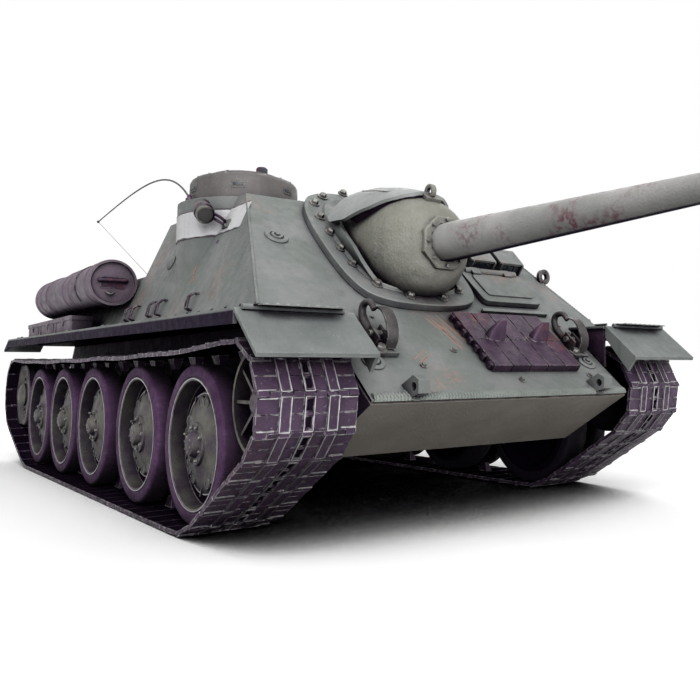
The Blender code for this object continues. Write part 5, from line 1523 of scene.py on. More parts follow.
# ======================================================================
# Front plate
# ======================================================================
@dataclass(frozen=True)
class FrontPlate:
    """Plugs, bolts, strips, weld and eyes of the front plate."""

    plugs: tuple[tuple[float, float, float], ...] = (
        (4.5, -56.6, -163.9), (4.0, -49.5, -218.5), (4.0, 50.5, -218.5))
    studs: tuple[tuple[float, float], ...] = (
        (-31.0, -220.0), (-13.2, -213.7), (8.0, -226.0), (45.5, -224.5))
    eyes: tuple[float, float] = (-42.5, 42.5)
    streaks: tuple[tuple[float, float, float, float], ...] = (
        (-6.5, -203.5, 17.0, 0.30), (-9.5, -207.0, 13.0, 0.22),
        (-12.5, -201.0, 9.0, 0.35), (-29.0, -216.0, 9.0, -0.9))

    def boss(self, radius: float) -> Solid:
        """Round plug: a flat ring, a groove and a raised middle with a square."""
        r = radius
        ring = lathe([(0.0, 0.0), (0.0, r), (0.45, r), (0.75, r - 0.35), (0.75, 0.62 * r),
                      (0.3, 0.58 * r), (0.3, 0.52 * r), (1.15, 0.46 * r), (1.15, 0.30 * r),
                      (0.75, 0.27 * r), (0.75, 0.0)], steps=40)
        return stacked([ring, block((-0.55, -0.55, 0.6), (0.55, 0.55, 1.5))])

    def nose_weld(self) -> Solid:
        """Flat weld across the nose whose ripples are a sine of x, flattened at the crests."""
        x = np.linspace(-57.6, 57.6, 640)
        along = np.array([-0.35, 0.15, 1.2, 2.4, 2.75])
        height = np.array([-0.3, 0.55, 0.75, 0.5, -0.3])
        a, x2 = np.meshgrid(along, x, indexing="ij")
        wave = np.clip(np.sin(x2 * 2 * np.pi / 1.25 + 1.2 * a + 0.7 * np.sin(x2 / 6)), -1,
                       0.4) * 0.42
        off = height[:, None] + wave * (height[:, None] > 0)
        return loft(SHAPE.front(x2, a, off).transpose(1, 0, 2))

    def patch(self, inner: float = 46.0, outer: float = 57.0) -> Parts:
        """Bolted strip beside the left mudguard."""
        low, high = SHAPE.up(-206.5), SHAPE.up(-203.0)
        strip = slab(sorted_box(inner, outer, low, high), 0.2, 0.9)
        x = np.linspace(inner + 2.0, outer - 2.0, 3)
        studs = set_on(bolt(0.42, 0.5), SHAPE.front, [(v, (low + high) / 2) for v in x], 0.0, 0.85)
        return [(strip.placed(SHAPE.front), Palette.sheet), (studs, Palette.steel)]

    def scratches(self) -> Parts:
        """Salmon scratch streaks: thin tapering strips that lie on the paint."""
        out = []
        rng = np.random.default_rng(21)
        for x, y, length, turn in self.streaks:
            for k in range(3):
                u = np.linspace(-0.5, 0.5, 12)
                width = (1.0 - 0.22 * k) * np.sqrt(np.clip(1.0 - (2 * u) ** 2, 0.02, 1.0))
                a = x + length * u * math.sin(turn) + rng.uniform(-1.6, 1.6)
                b = SHAPE.up(y) - length * u * math.cos(turn) + rng.uniform(-2.5, 2.5)
                rows = [SHAPE.front(a + w * width, b, 0.0 * u + h)
                        for w, h in ((-1, -0.05), (-0.6, 0.07), (0.6, 0.07), (1, -0.05))]
                out.append((loft(np.stack(rows, 1)), Palette.scuff))
        return out

    def build(self) -> None:
        """Everything that stands on the front plates."""
        up = SHAPE.up
        bosses = stacked([set_on(self.boss(radius), SHAPE.front, [(x, up(y))])
                          for radius, x, y in self.plugs])
        studs = set_on(bolt(0.9, 1.2, 1.3), SHAPE.front, [(x, up(y)) for x, y in self.studs])
        splash = slab([(15.0, up(-196.0)), (51.0, up(-196.0)), (52.5, up(-194.6)),
                       (16.0, up(-194.6))],
                      0.1, 1.7)
        parts = [(bosses, Palette.armour), (studs, Palette.steel),
                 (splash.placed(SHAPE.front), Palette.armour), (self.nose_weld(), Palette.seam),
                 *self.patch()]
        for x in self.eyes:
            ring = lathe([(-1.3, 1.35), (1.3, 1.35), (1.6, 1.9), (1.3, 2.9), (-1.3, 2.9),
                          (-1.6, 2.4)],
                         "X", (x, -232.9, 47.3), 36, loop=True)
            fillet = lathe([(0.0, 0.0), (0.0, 3.2), (0.5, 2.3), (0.9, 0.0)], steps=20)
            parts += [(ring, Palette.drum),
                      (set_on(fillet, SHAPE.front, [(x, 2.2)]), Palette.armour)]
        put_together("front_plate_fittings", parts, sharp=38.0)
        put_together("front_scratches", self.scratches(), sharp=80.0)


def sorted_box(x0: float, x1: float, y0: float, y1: float) -> list[tuple[float, float]]:
    """Outline of a rectangle whose corners may be given in any order."""
    (a, b), (c, d) = sorted((x0, x1)), sorted((y0, y1))
    return [(a, c), (b, c), (b, d), (a, d)]


@dataclass(frozen=True)
class TowHook:
    """Tow hook: base plate, hook, curved spring guard and a nut."""

    node: str
    low_y: float = -217.0
    high_y: float = -201.0

    def build(self) -> None:
        """Stand the hook on the plate where its CAD node lies."""
        low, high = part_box(self.node)
        x = (low.x + high.x) / 2 / MM + 0.5
        b = (SHAPE.up(self.low_y) + SHAPE.up(self.high_y)) / 2

        def spot(points: Sequence[Point], count: int = 26) -> Array:
            line = curve_through(points, count)
            return SHAPE.front(x + line[:, 0], b + line[:, 1], line[:, 2])

        base = slab([(-5.6, -10.2), (4.6, -10.2), (4.6, 10.2), (-5.6, 10.2)], 0.3, 1.8)
        base = Solid(base.points + (x, b, 0.0), base.faces).placed(SHAPE.front)
        hook = tube(spot([(-2.3, -6.5, 2.6), (-2.3, 3.0, 2.8), (-2.3, 7.6, 4.4), (-2.3, 8.6, 7.4),
                          (-2.3, 6.0, 10.0), (-2.3, 2.6, 9.6)]), np.linspace(1.6, 1.0, 26), 14)
        guard_line = spot([(1.2, -8.6, 2.4), (1.2, -7.6, 6.5), (1.2, -4.0, 9.4), (1.2, 0.8, 10.6),
                           (1.2, 4.6, 9.2)])
        guard = ribbon(guard_line, (1.0, 0.0, 0.0), 4.4, 0.6)
        cheeks = stacked([slab([(x + k, b - 7.8), (x + k + 0.7, b - 7.8), (x + k + 0.7, b - 1.2),
                                (x + k, b - 1.2)], 1.6, 6.4).placed(SHAPE.front)
                          for k in (-4.4, -0.8)])
        nut = set_on(bolt(1.7, 2.0, 2.5), SHAPE.front, [(x - 2.3, b - 8.4)], 0.3, 1.7)
        small = set_on(bolt(0.6, 0.7), SHAPE.front, [(x + s * 3.6 - 0.5, b + t * 8.8)
                                                     for s in (-1, 1) for t in (-1, 1)], 0.0, 1.7)
        pin = rod(tuple(SHAPE.front(x - 5.4, b - 3.6, 4.6)),
                  tuple(SHAPE.front(x + 1.4, b - 3.6, 4.6)), 1.1)
        put_together(self.node + "_forged",
                     [(base, Palette.armour), (hook, Palette.forged), (guard, Palette.forged),
                      (cheeks, Palette.forged), (nut, Palette.steel), (small, Palette.steel),
                      (pin, Palette.steel)], "root", [self.node], sharp=36.0)


@dataclass(frozen=True)
class SpareTrack:
    """Two spare links on the front plate, each with its horn."""

    columns: int = 5
    low_y: float = -222.8
    high_y: float = -198.5
    top: float = 3.15

    def build(self) -> None:
        """Tiles in two rows, knuckles along the edges and two horns."""
        low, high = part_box("spare_track")
        x0, x1 = low.x / MM, high.x / MM
        b0, b1 = SHAPE.up(self.low_y), SHAPE.up(self.high_y)
        wide, deep = (x1 - x0) / self.columns, (b1 - b0) / 2
        tiles = []
        for c in range(self.columns):
            shift = 0.7 if c % 2 else -0.7
            for r in range(2):
                y0 = b0 + r * deep + (shift if r else 0.25)
                y1 = b0 + (r + 1) * deep + (shift if not r else -0.25) - 0.3
                tiles.append(slab([(x0 + c * wide + 0.22, y0), (x0 + (c + 1) * wide - 0.22, y0),
                                   (x0 + (c + 1) * wide - 0.22, y1), (x0 + c * wide + 0.22, y1)],
                                  0.3, self.top))
        for k in range(7):
            s = (k + 0.5) / 7
            tiles.append(block((x0 - 0.9, b0 + s * (b1 - b0) - 1.0, 0.4),
                               (x0 + 0.8, b0 + s * (b1 - b0) + 1.0, 2.6)))
        parts = [(t.placed(SHAPE.front), Palette.iron) for t in tiles]
        # Near-black slab under the tiles: painted shade in the gaps between them.
        under = slab(sorted_box(x0 + 0.4, x1 - 0.4, b0 + 0.4, b1 - 0.4), 0.3, 2.2)
        parts.append((under.placed(SHAPE.front), Palette.pit))
        middle = (b0 + b1) / 2
        for x in (x0 + 11.1, x1 - 11.0):
            u = np.linspace(0.0, 1.0, 9)[:, None]
            t = np.linspace(0.0, 2 * np.pi, 28, endpoint=False)[None]
            a = (x + 4.3 * (1.0 - 0.62 * u ** 1.6) * np.sign(np.cos(t)) * np.abs(np.cos(t)) ** 0.5
                 + 1.6 * u ** 2)
            b = (middle + 0.4 + 2.6 * (1.0 - 0.86 * u) * np.sign(np.sin(t)) * np.abs(np.sin(t)) ** 0.6
                 + 1.7 * u)
            horn = grid(np.concatenate([SHAPE.front(a, b, 2.6 + 7.2 * u + 0 * t),
                                        SHAPE.front(x + 1.6 + 0 * t, middle + 2.1 + 0 * t,
                                                    9.9 + 0 * t)]),
                        wrap_v=True)
            parts.append((horn, Palette.iron))
        put_together("spare_track_links", parts, "root", ["spare_track"], sharp=34.0,
                     edge=0.18)


@dataclass(frozen=True)
class DriverStation:
    """Driver's hatch with rounded corners, its hinge, and two periscope housings."""

    hatch_y: tuple[float, float] = (-191.6, -175.2)
    housing_y: tuple[float, float] = (-172.4, -163.5)
    housing_x: tuple[float, float] = (28.0, 44.5)
    lug_x: tuple[float, float] = (27.0, 45.0)

    def build(self) -> None:
        """Lid on its own body; housings on the hull."""
        low, high = (SHAPE.up(y) for y in self.hatch_y)
        edge = rounded([(19.8, low), (52.0, low), (55.0, high), (19.8, high)], 3.2)
        inner = rounded([(23.6, low + 3.6), (49.6, low + 3.6), (51.6, high - 3.2),
                         (23.6, high - 3.2)], 2.4)
        lid = [slab(edge, 0.35, 2.7), slab(inner, 2.4, 3.4)]
        hinge = rod(tuple(SHAPE.front(22.0, high, 2.6)), tuple(SHAPE.front(51.0, high, 2.6)), 1.6,
                    20)
        lugs = stacked([slab(sorted_box(x - 2.2, x + 2.2, high - 3.2, high + 1.2), 1.8,
                             4.1).placed(SHAPE.front)
                        for x in self.lug_x])
        put_together("driver_hatch_lid", [(s.placed(SHAPE.front), Palette.armour) for s in lid]
                     + [(hinge, Palette.armour), (lugs, Palette.armour)],
                     "driver_hatch", ["driver_hatch"], edge=0.3)
        bottom, top = (SHAPE.up(y) for y in self.housing_y)
        parts: Parts = []
        for x in self.housing_x:
            house = slab([(x, bottom + 1.0), (x + 12.0, bottom + 1.0), (x + 13.5, top),
                          (x + 1.5, top)], 0.3, 5.4)
            lid_top = slab([(x - 1.0, bottom), (x + 13.0, bottom), (x + 14.5, top), (x + 0.5, top)],
                           5.2, 6.5)
            parts += [(house.placed(SHAPE.front), Palette.armour),
                      (lid_top.placed(SHAPE.front), Palette.armour)]
            slots = [slab(sorted_box(x + 1.0 + 3.8 * k, x + 3.8 + 3.8 * k, bottom + 0.55,
                                     bottom + 1.2), 1.2, 4.6)
                     .placed(SHAPE.front) for k in range(3)]
            parts += [(stacked(slots), Palette.glass)]
            ears = [slab(sorted_box(x + a, x + a + 0.8, bottom - 0.8, bottom + 1.4), 0.4,
                         6.3).placed(SHAPE.front)
                    for a in (-0.4, 11.8)]
            parts.append((stacked(ears), Palette.armour))
        put_together("driver_periscope_housings", parts, stands_for=["driver_periscopes"],
                     edge=0.2)


def rounded(corners: Sequence[tuple[float, float]], radius: float, steps: int = 6) -> Array:
    """Outline whose corners are quarter turns: each corner is a quadratic curve cut at radius."""
    p = np.asarray(corners, float)
    back, ahead = unit(np.roll(p, 1, 0) - p), unit(np.roll(p, -1, 0) - p)
    t = np.linspace(0.0, 1.0, steps)[None, :, None]
    start, end = (p + back * radius)[:, None], (p + ahead * radius)[:, None]
    return ((1 - t) ** 2 * start + 2 * t * (1 - t) * p[:, None] + t ** 2 * end).reshape(-1, 2)


# ======================================================================
# Casemate sides, cupola, lamp and antenna
# ======================================================================
def sheet_on(place: Placer, along: Array, low: Array, high: Array, thick: float = 0.12) -> Solid:
    """Thin sheet that follows a surface from low to high at each step along it."""
    a = np.asarray(along, float)
    low, high, zero = low + 0.0 * a, high + 0.0 * a, 0.0 * a
    return loft(np.stack([place(a, low, zero - 0.1), place(a, low, zero + thick),
                          place(a, high, zero + thick), place(a, high, zero - 0.1)], 1))


@dataclass(frozen=True)
class CasemateSide:
    """Fittings of one sloped side: band, footholds, plug and corner weld."""

    side: Side
    holds: tuple[float, ...] = (-136.0, -101.6, -90.5, -67.2, -58.7)
    band_low: float = 107.0
    band_high: float = 117.2
    streaks: tuple[tuple[float, float, float, float], ...] = (
        (-121.5, 92.0, 8.0, 1.1), (-122.5, 90.0, 6.0, 0.9),
        (-120.0, 94.0, 5.0, 1.3), (-124.0, 89.0, 3.5, 0.7))
    plug: tuple[float, float] = (-84.7, 100.0)

    def foothold(self, y: float) -> Solid:
        """Bent bar that stands off the side, with two feet."""
        place = SHAPE.flank(self.side)
        bars = []
        for k in (-1.2, 1.2):
            knots = np.array([(y + k - 1.2, 75.2, -0.3), (y + k - 1.1, 75.4, 2.0),
                              (y + k + 0.2, 79.6, 2.4),
                              (y + k - 1.2, 81.6, 1.4), (y + k - 1.3, 81.7, -0.3)])
            s = np.linspace(0.0, 4.0, 17)
            line = np.column_stack([np.interp(s, np.arange(5), knots[:, i]) for i in range(3)])
            bars.append(tube(place(*line.T), 0.36, 6))
        return stacked(bars)

    def band(self) -> Parts:
        """White band with dark edges, on the side and round the wall under the cupola."""
        flank = SHAPE.flank(self.side)
        front = -149.5 if self.side is Side.RIGHT else -150.0
        y = np.linspace(front, -127.0 if self.side is Side.RIGHT else -60.0, 40)
        wave = 0.18 * np.sin(y * 0.9) + 0.12 * np.sin(y * 2.3)
        out: Parts = [
            (sheet_on(flank, y, self.band_low + wave, self.band_high + 0.5 * wave), Palette.band)]
        if self.side is Side.RIGHT:
            wall = SHAPE.blister()
            turn = np.radians(np.linspace(26.0, 152.0, 72))
            ragged = 0.22 * np.sin(turn * 9.0) + 0.14 * np.sin(turn * 23.0)
            out.append((sheet_on(wall, turn, self.band_low - 0.4 + ragged, self.band_high - 0.3),
                        Palette.band))
            out += [(sheet_on(wall, turn, h, h + 0.35, 0.17), Palette.iron)
                    for h in (self.band_low - 0.9, self.band_high - 0.2)]
            out.append((sheet_on(wall, turn, 85.9, 87.0, 0.55), Palette.armour))
        out += [(sheet_on(flank, y, h, h + 0.32, 0.16), Palette.iron)
                for h in (self.band_low - 0.5, self.band_high + 0.1)]
        return out

    def build(self) -> None:
        """All fittings of the side."""
        place, sign = SHAPE.flank(self.side), self.side.value
        z = np.linspace(73.5, 120.0, 60)
        y = SHAPE.nose[0] + (z - SHAPE.nose[1]) / math.tan(SHAPE.glacis)
        corner = np.stack([sign * SHAPE.side_x(z), y, z], -1) + (-0.25 * sign, 0.3, -0.1)
        parts: Parts = [(weld_seam(corner, 0.75, 1.3), Palette.armour)]
        parts += [(self.foothold(spot), Palette.iron) for spot in self.holds]
        dome = lathe([(0.0, 0.0), (0.0, 3.3), (0.35, 3.3), (0.6, 3.0), (1.3, 2.2), (1.65, 1.1),
                      (1.75, 0.0)], steps=36)
        parts.append((set_on(dome, place, [self.plug]), Palette.armour))
        parts.append((sheet_on(place, np.linspace(-205.0, -56.0, 90), 71.4, 72.3, 0.8),
                      Palette.armour))
        base = set_on(bolt(0.55, 0.6), place, [(v, 74.2) for v in np.linspace(-196.0, -62.0, 12)])
        parts.append((base, Palette.armour))
        put_together(f"casemate_fittings_{self.side.word}", parts, sharp=36.0)
        put_together(f"casemate_band_{self.side.word}", self.band(), sharp=60.0)
        if self.side is Side.LEFT:
            ring = lathe([(-0.9, 1.6), (0.9, 1.6), (1.3, 2.4), (0.9, 3.5), (-0.9, 3.5),
                          (-1.3, 2.6)],
                         "Y", (71.6, -174.6, 95.2), 36, loop=True)
            put_together("casemate_ring_left", [(ring, Palette.forged)], sharp=40.0)
        else:
            marks = []
            for y0, z0, length, lean in self.streaks:
                u = np.linspace(-0.5, 0.5, 10)
                width = 0.6 * np.sqrt(np.clip(1 - (2 * u) ** 2, 0.03, 1))
                a, b = y0 + 0.35 * length * u, z0 + length * u * lean
                rings = [place(a + w * width, b, 0 * u + h)
                         for w, h in ((-1, -0.1), (-1, 0.07), (1, 0.07), (1, -0.1))]
                marks.append((loft(np.stack(rings, 1)), Palette.scuff))
            put_together("casemate_scuff", marks, sharp=80.0)


@dataclass(frozen=True)
class Cupola:
    """Commander's cupola: bevelled drum, vision slits, and its hatch's fittings."""

    radius: float = 23.0
    base: float = 122.7
    top: float = 134.5
    slits: tuple[float, ...] = (20.0, 92.0, 150.0, 208.0, 300.0)
    bolt_circle: float = 20.2

    def build(self) -> None:
        """Drum on the roof, slits in its wall, hatch on its own body."""
        (cx, cy), r = SHAPE.cupola, self.radius
        drum = lathe([(self.base, 16.0), (self.base, r + 0.1), (self.base + 0.6, r + 0.1),
                      (self.base + 0.7, r - 0.25),
                      (131.9, r - 0.55), (133.2, r - 1.2), (134.1, r - 2.4), (self.top, r - 4.0),
                      (self.top, 16.2), (133.6, 15.9), (133.6, 13.5), (self.base, 13.5)], "Z",
                     (cx, cy, 0.0),
                     112, loop=True)
        wall = SHAPE.blister(r - 0.55)
        parts: Parts = [(drum, Palette.cupola)]
        for turn in np.radians(self.slits):
            frame_line = turn + np.linspace(-0.115, 0.115, 8)
            parts.append((sheet_on(wall, frame_line, 127.2, 130.6, 0.35), Palette.cupola))
            parts.append((sheet_on(wall, turn + np.linspace(-0.088, 0.088, 8), 128.2, 129.4, 0.55),
                          Palette.glass))
        rim_bolts = [(cx + self.bolt_circle * math.cos(a), cy + self.bolt_circle * math.sin(a))
                     for a in np.linspace(0, 2 * np.pi, 16, endpoint=False)]
        parts.append((set_on(bolt(0.6, 0.5), SHAPE.level(133.9), rim_bolts), Palette.steel))
        seam = [(cx + 23.4 * math.cos(a), cy + 23.4 * math.sin(a), self.base + 0.25)
                for a in np.linspace(0, 2 * np.pi, 90)]
        parts.append((weld_seam(np.array(seam), 0.5, 1.4), Palette.cupola))
        put_together("cupola_drum", parts, stands_for=["cupola"], sharp=34.0)
        refined("cupola_hatch", Palette.cupola, edge=0.3)
        scope = [(lathe([(136.0, 0.0), (136.0, 3.4), (137.4, 3.2), (137.6, 2.4), (140.4, 2.4),
                         (141.1, 1.9),
                         (141.1, 0.0)], "Z", (cx + 5.5, cy - 5.0, 0.0), 32), Palette.iron),
                 (block((cx + 4.0, cy - 7.7, 138.2), (cx + 7.0, cy - 7.1, 140.2)), Palette.glass)]
        handle = curve_through([(cx - 8.0, cy - 1.0, 136.2), (cx - 8.0, cy - 1.0, 138.4),
                                (cx - 8.0, cy + 5.0, 138.4), (cx - 8.0, cy + 5.0, 136.2)], 18)
        scope.append((tube(handle, 0.5, 10), Palette.iron))
        put_together("cupola_hatch_fittings", scope, "cupola_hatch", sharp=40.0)


@dataclass(frozen=True)
class Lamp:
    """Headlamp: drum with a dark flat face on a bracket of two bars."""

    face: Point = (-72.5, -135.5, 112.4)
    aim: Point = (-0.17, -0.84, -0.52)
    radius: float = 3.4
    length: float = 10.5
    foot: tuple[float, float] = (-131.5, 110.0)

    def build(self) -> None:
        """Lamp drum, glass and bracket."""
        aim, face, r = unit(np.array(self.aim)), np.array(self.face), self.radius
        shell = lathe([(-self.length, 0.0), (-self.length, r - 0.9), (-self.length + 0.5, r - 0.3),
                       (-self.length + 1.2, r), (-0.9, r), (-0.8, r + 0.16), (0.0, r + 0.16),
                       (0.05, r - 0.45),
                       (-0.5, r - 0.5), (-0.5, 0.0)], steps=56)
        place = frames_at(face, aim)
        glass = lathe([(-0.8, 0.0), (-0.8, r - 0.5), (-0.35, r - 0.5), (-0.15, 0.0)], steps=48)
        foot_y, foot_z = self.foot
        flank = SHAPE.flank(Side.RIGHT)
        plate = slab([(-2.4, -1.8), (2.4, -1.8), (2.4, 1.8), (-2.4, 1.8)], -0.3, 0.9)
        plate = set_on(plate, flank, [(foot_y - 3.0, foot_z)])
        inner = flank(np.array([foot_y - 3.0]), np.array([foot_z]), np.array([0.5]))[0]
        start = face - aim * 3.0 + (r - 0.4, 0.3, -0.3)
        bars = [tube(curve_through([start + (0, 0, k), (start + inner) / 2 + (0.6, -1.0, k - 0.6),
                                    inner + (0, 0, 0.8 * k)], 14), 0.62, 10) for k in (-1.0, 1.0)]
        strut = tube(curve_through([inner + (0.0, 0.0, -0.4), inner + (0.3, 0.8, -4.0),
                                    flank(np.array([foot_y - 1.0]), np.array([foot_z - 7.5]),
                                          np.array([0.2]))[0]], 12), 0.5, 8)
        clamp = lathe(box_ring(-4.4, -2.6, r, r + 0.45), steps=48, loop=True)
        nuts = set_on(bolt(0.5, 0.7), flank,
                      [(foot_y - 4.6, foot_z - 1.0), (foot_y - 1.4, foot_z + 1.0)],
                      lift=0.85)
        put_together("side_lamp_drum",
                     [(shell.moved(place), Palette.wheel), (glass.moved(place), Palette.black),
                                        (clamp.moved(place), Palette.iron), (plate, Palette.armour),
                                        (nuts, Palette.steel), (strut, Palette.iron),
                                        *[(b, Palette.iron) for b in bars]],
                     stands_for=["side_lamp"], sharp=40.0)


@dataclass(frozen=True)
class Antenna:
    """Bent whip in a pot, held down by a faint line: the rise is a(1-e^(-kt)) - bt."""

    foot: Point = (-70.0, -111.0, 122.7)
    tie: Point = (-64.5, -47.0, 97.4)
    reach: Point = (3.0, 151.0, 1.2)
    rise: float = 24.4
    spring: float = 5.2
    drop: float = 10.5

    def build(self) -> None:
        """Pot, whip, ball and line."""
        x, y, z = self.foot
        t = np.linspace(0.0, 1.0, 60) ** 1.5
        across, back, start = self.reach
        whip = np.column_stack([x + across * t, y + back * t, z + start
                                + self.rise * (1 - np.exp(-self.spring * t)) - self.drop * t])
        pot = lathe([(0.0, 0.0), (0.0, 1.5), (0.9, 1.5), (1.1, 1.1), (2.0, 0.9), (2.6, 0.4),
                     (2.6, 0.0)],
                    "Z", (x, y, z), 28)
        ball = lathe([(math.sin(a) * 0.75, math.cos(a) * 0.75 if abs(a) < 1.57 else 0.0)
                      for a in np.linspace(-np.pi / 2, np.pi / 2, 13)], "Z", tuple(whip[-1]), 20)
        line = rod(tuple(whip[-1]), self.tie, 0.11, 6)
        put_together("antenna_whip", [(tube(whip, np.linspace(0.42, 0.3, 60), 10), Palette.wire),
                                      (pot, Palette.iron), (ball, Palette.wire),
                                      (line, Palette.wire)],
                     "root", ["antenna"], sharp=50.0)


# ======================================================================
# Fenders, stowage and rear
# ======================================================================
@dataclass(frozen=True)
class Fender:
    """Edge strips, brackets and the swinging mudguard of one side."""

    side: Side
    edge_x: float = 96.2
    drops: tuple[float, float] = (0.75, 3.9)
    brackets: tuple[float, ...] = (-150.0, -90.0, -30.0, 30.0, 88.0)

    def build(self) -> None:
        """Rolled edge and brackets on the hull, strip and bolts on the mudguard."""
        sign, word = self.side.value, self.side.word
        y = np.linspace(-219.0, 112.0, 60)
        z = SHAPE.fender_z(y)
        parts: Parts = []
        for drop in self.drops:
            edge = np.column_stack([sign * self.edge_x + 0 * y, y, z - drop])
            parts.append((tube(edge, 0.5, 8), Palette.sheet))
        for station in self.brackets:
            top = SHAPE.fender_z(station)
            parts.append((slab(sorted_box(sign * 82.0, sign * self.edge_x, station - 2.0,
                                          station + 2.0),
                               top - 0.2, top + 0.55), Palette.sheet))
            spots = [(sign * v, station) for v in (84.0, 94.0)]
            parts.append((set_on(bolt(0.6, 0.6), SHAPE.level(top + 0.5), spots), Palette.steel))
        cheek = slab([(-221.0, 53.6), (-221.0, 69.6), (-202.0, 69.6)], 58.8, 59.6)
        strap = slab([(-212.0, 61.4), (-212.0, 69.4), (-209.8, 69.4), (-209.8, 63.4)], 58.2, 58.9)
        for plate, finish in ((cheek, Palette.iron), (strap, Palette.sheet)):
            points = plate.points[:, [2, 0, 1]] * (sign, 1.0, 1.0)
            parts.append((Solid(points, plate.faces), finish))
        put_together(f"fender_edge_{word}", parts, sharp=36.0)
        node = f"mudguard_{word}"
        refined(node, Palette.sheet, edge=0.2)
        low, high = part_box(node)
        x0, x1 = sorted((low.x / MM, high.x / MM))
        back, top = high.y / MM - SHAPE.shift, high.z / MM
        strip = block((x0 + 6.0, back - 5.6, top - 0.5), (x1 - 6.0, back - 2.4, top - 0.12))
        # Near-black strip in the hinge gap: painted shade.
        hinge_gap_shade = block((x0 + 5.0, back - 2.3, top - 0.5), (x1 - 5.0, back - 1.7, top - 0.08))
        studs = set_on(bolt(0.5, 0.3), SHAPE.level(top - 0.14),
                       [(v, back - 4.0) for v in np.linspace(x0 + 8.0, x1 - 8.0, 8)])
        parts = [(strip, Palette.armour), (hinge_gap_shade, Palette.pit), (studs, Palette.bright)]
        put_together(f"{node}_hinge_strip", parts, body_of(node), sharp=36.0)


@dataclass(frozen=True)
class FuelDrum:
    """Fuel drum with end caps, raised bands, handle, filler and strap."""

    side: Side
    axis: tuple[float, float] = (82.2, 93.6)
    radius: float = 10.7
    ends: tuple[float, float] = (-51.0, 62.0)
    bands: tuple[float, ...] = (9.5, 40.0, 51.0, 84.0, 102.0)

    def build(self) -> None:
        """Turned drum along Y with its straps and cap fittings."""
        node = f"fuel_drum_{self.side.word}"
        x, z, r = self.side.value * self.axis[0], self.axis[1], self.radius
        y0, y1 = self.ends
        profile = [(y0 + 1.3, 0.0), (y0 + 1.3, r - 1.3), (y0, r - 1.1), (y0, r - 0.15),
                   (y0 + 0.9, r),
                   (y0 + 2.6, r), (y0 + 3.0, r - 0.5)]
        for mark in (y0 + band for band in self.bands):
            profile += [(mark - 1.0, r - 0.5), (mark - 0.5, r - 0.05), (mark + 0.5, r - 0.05),
                        (mark + 1.0, r - 0.5)]
        profile += [(y1 - 3.0, r - 0.5), (y1 - 2.6, r), (y1 - 0.9, r), (y1, r - 0.15),
                    (y1, r - 1.1),
                    (y1 - 1.3, r - 1.3), (y1 - 1.3, 0.0)]
        parts: Parts = [(lathe(profile, "Y", (x, 0.0, z), 88), Palette.drum)]
        face = y0 + 1.25
        bar = tube(curve_through([(x - 5.6, face, z + 1.0), (x - 5.0, face - 1.0, z + 1.0),
                                  (x + 5.0, face - 1.0, z + 1.0),
                                  (x + 5.6, face, z + 1.0)], 20), 0.85, 10)
        tray = slab([(-5.2, -2.6), (5.2, -2.6), (5.2, 2.6), (-5.2, 2.6)], 0.0, 0.35)
        front_face = frames_at(np.array([[x, face + 0.1, z]]), np.array([0.0, -1.0, 0.0]))
        hook = tube(curve_through([(x - 2.6, face, z - 4.2), (x - 2.2, face - 0.9, z - 4.8),
                                   (x - 0.8, face - 0.9, z - 5.4), (x + 0.6, face - 0.2, z - 4.6)],
                                  14), 0.4, 8)
        parts += [(bar, Palette.iron), (tray.moved(front_face), Palette.iron),
                  (hook, Palette.steel)]
        for station in (y0 + 26.0, y1 - 26.0):
            t = np.linspace(-0.9, 3.9, 44)
            strap = np.column_stack([x + (r - 0.25) * np.cos(t), station + 0 * t,
                                     z + (r - 0.25) * np.sin(t)])
            parts.append((ribbon(strap, (0.0, 1.0, 0.0), 2.6, 0.55), Palette.iron))
        for station in (y0 + 33.0, y1 - 18.0):
            cap = lathe([(0.0, 0.0), (0.0, 1.6), (0.8, 1.6), (1.1, 1.3), (1.1, 0.0)], "Z",
                        (x, station, z + r - 0.9), 24)
            parts.append((cap, Palette.steel))
        put_together(f"{node}_drum", parts, stands_for=[node], sharp=36.0)


@dataclass(frozen=True)
class Toolbox:
    """Long stowage box with a lid, ribs and latches."""

    ribs: tuple[float, ...] = (0.3, 0.36, 0.66, 0.72)
    latches: tuple[float, ...] = (0.15, 0.5, 0.86)

    def build(self) -> None:
        """Three boxes joined at straps, lid line, latches and hinge."""
        low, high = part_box("toolbox")
        x0, x1 = low.x / MM, high.x / MM
        y0, y1 = low.y / MM - SHAPE.shift, high.y / MM - SHAPE.shift
        z0, z1 = low.z / MM, high.z / MM
        body = slab(rounded([(x0 + 0.6, y0 + 0.5), (x1 - 0.4, y0 + 0.5), (x1 - 0.4, y1 - 0.5),
                             (x0 + 0.6, y1 - 0.5)], 1.2), z0, z1 - 2.0)
        lid = slab(rounded([(x0 + 0.25, y0), (x1, y0), (x1, y1), (x0 + 0.25, y1)], 1.2), z1 - 2.2,
                   z1 - 0.05)
        parts: Parts = [(body, Palette.drum), (lid, Palette.drum)]
        length = y1 - y0
        for share in self.ribs:
            y = y0 + share * length
            parts.append((block((x0 + 0.3, y - 0.35, z0), (x1 - 0.2, y + 0.35, z1 - 0.02)),
                          Palette.drum))
        for share in self.latches:
            y = y0 + share * length
            parts.append((block((x0 + 0.12, y - 1.2, z1 - 4.6), (x0 + 0.8, y + 1.2, z1 - 1.0)),
                          Palette.iron))
            parts.append((rod((x0 + 0.35, y - 1.7, z1 - 2.4), (x0 + 0.35, y + 1.7, z1 - 2.4), 0.3,
                              8), Palette.steel))
        put_together("toolbox_chest", parts, stands_for=["toolbox"], sharp=34.0, edge=0.25)


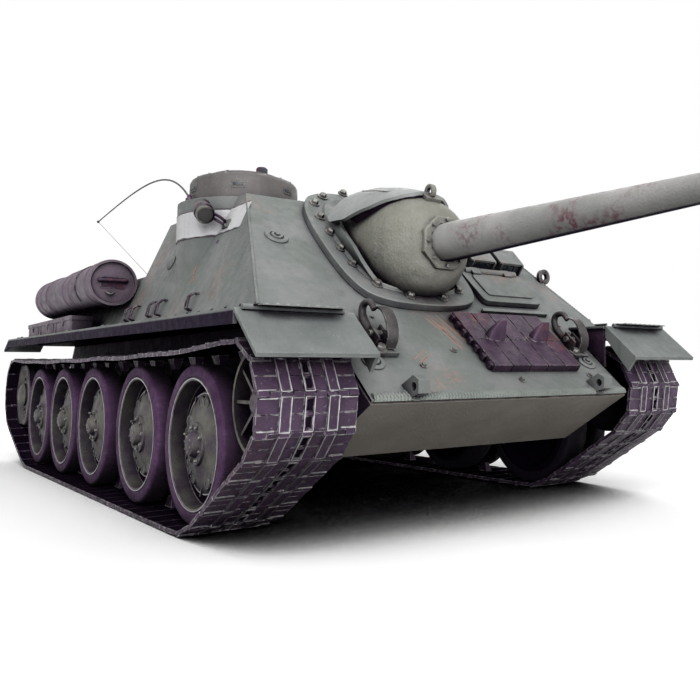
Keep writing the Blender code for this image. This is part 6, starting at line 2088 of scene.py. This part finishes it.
@dataclass(frozen=True)
class RearAndRoof:
    """Roof lids, engine deck, rear plates and the works inside."""

    hatch_z: float = 77.5
    hatch_circle: float = 20.5
    domes: tuple[tuple[float, float], ...] = ((50.0, -70.0), (50.0, -120.0), (-20.0, -70.0))

    def build(self) -> None:
        """Refine the CAD forms and set bolts, handles and welds on them."""
        for node in ("loader_hatch", "transmission_hatch", "engine_deck", "rear_plate"):
            refined(node, Palette.armour, edge=0.3)
        parts: Parts = []
        rear = set_on(bolt(1.0, 1.0, 1.35), SHAPE.rear,
                      [(self.hatch_circle * math.cos(a),
                        self.hatch_z + 0.8 * self.hatch_circle * math.sin(a))
                       for a in np.linspace(0, 2 * np.pi, 14, endpoint=False)])
        parts.append((rear, Palette.steel))
        deck_bolts = set_on(bolt(0.7, 0.6), SHAPE.level(SHAPE.deck),
                            [(s * 47.0, y) for s in (-1, 1) for y in np.linspace(-44.0, 90.0, 12)])
        parts.append((deck_bolts, Palette.steel))
        roof_seam = np.array([(x, -138.0 + 0 * x, SHAPE.roof + 0.1)
                              for x in np.linspace(-40.0, 55.0, 60)])
        parts.append((weld_seam(roof_seam, 0.6, 1.3), Palette.armour))
        back_seam = np.array([(x, SHAPE.casemate_rear + 0.2, SHAPE.deck + 0.2)
                              for x in np.linspace(-56.0, 56.0, 60)])
        parts.append((weld_seam(back_seam, 0.6, 1.3), Palette.armour))
        for x, y in self.domes:
            dome = lathe([(0.0, 0.0), (0.0, 2.6), (0.5, 2.4), (1.0, 1.2), (1.1, 0.0)], steps=28)
            parts.append((set_on(dome, SHAPE.level(SHAPE.roof), [(x, y)]), Palette.armour))
        put_together("rear_and_roof_bolts", parts, sharp=36.0)
        for node in ("battery_pack", "battery_cover", "gearbox_left", "gearbox_right",
                     "power_switch"):
            keep_node(node, Palette.black)
        keep_node("control_board", Palette.board)


def main() -> None:
    """Build the studio and each sub-assembly in order."""
    logging.basicConfig(level=logging.INFO, format="%(message)s")
    Studio().build()
    refined("upper_hull", Palette.hull)
    refined("lower_hull", Palette.lower)
    RunningGear().build()
    for part in (GunMount(), Mantlet(), Gun(), FrontPlate(), TowHook("tow_hook_right"),
                 TowHook("tow_hook_left"), SpareTrack(), DriverStation()):
        part.build()
    for side in Side:
        CasemateSide(side).build()
        Fender(side).build()
        FuelDrum(side).build()
    for part in (Cupola(), Lamp(), Antenna(), Toolbox(), RearAndRoof()):
        part.build()


if __name__ == "__main__":
    main()
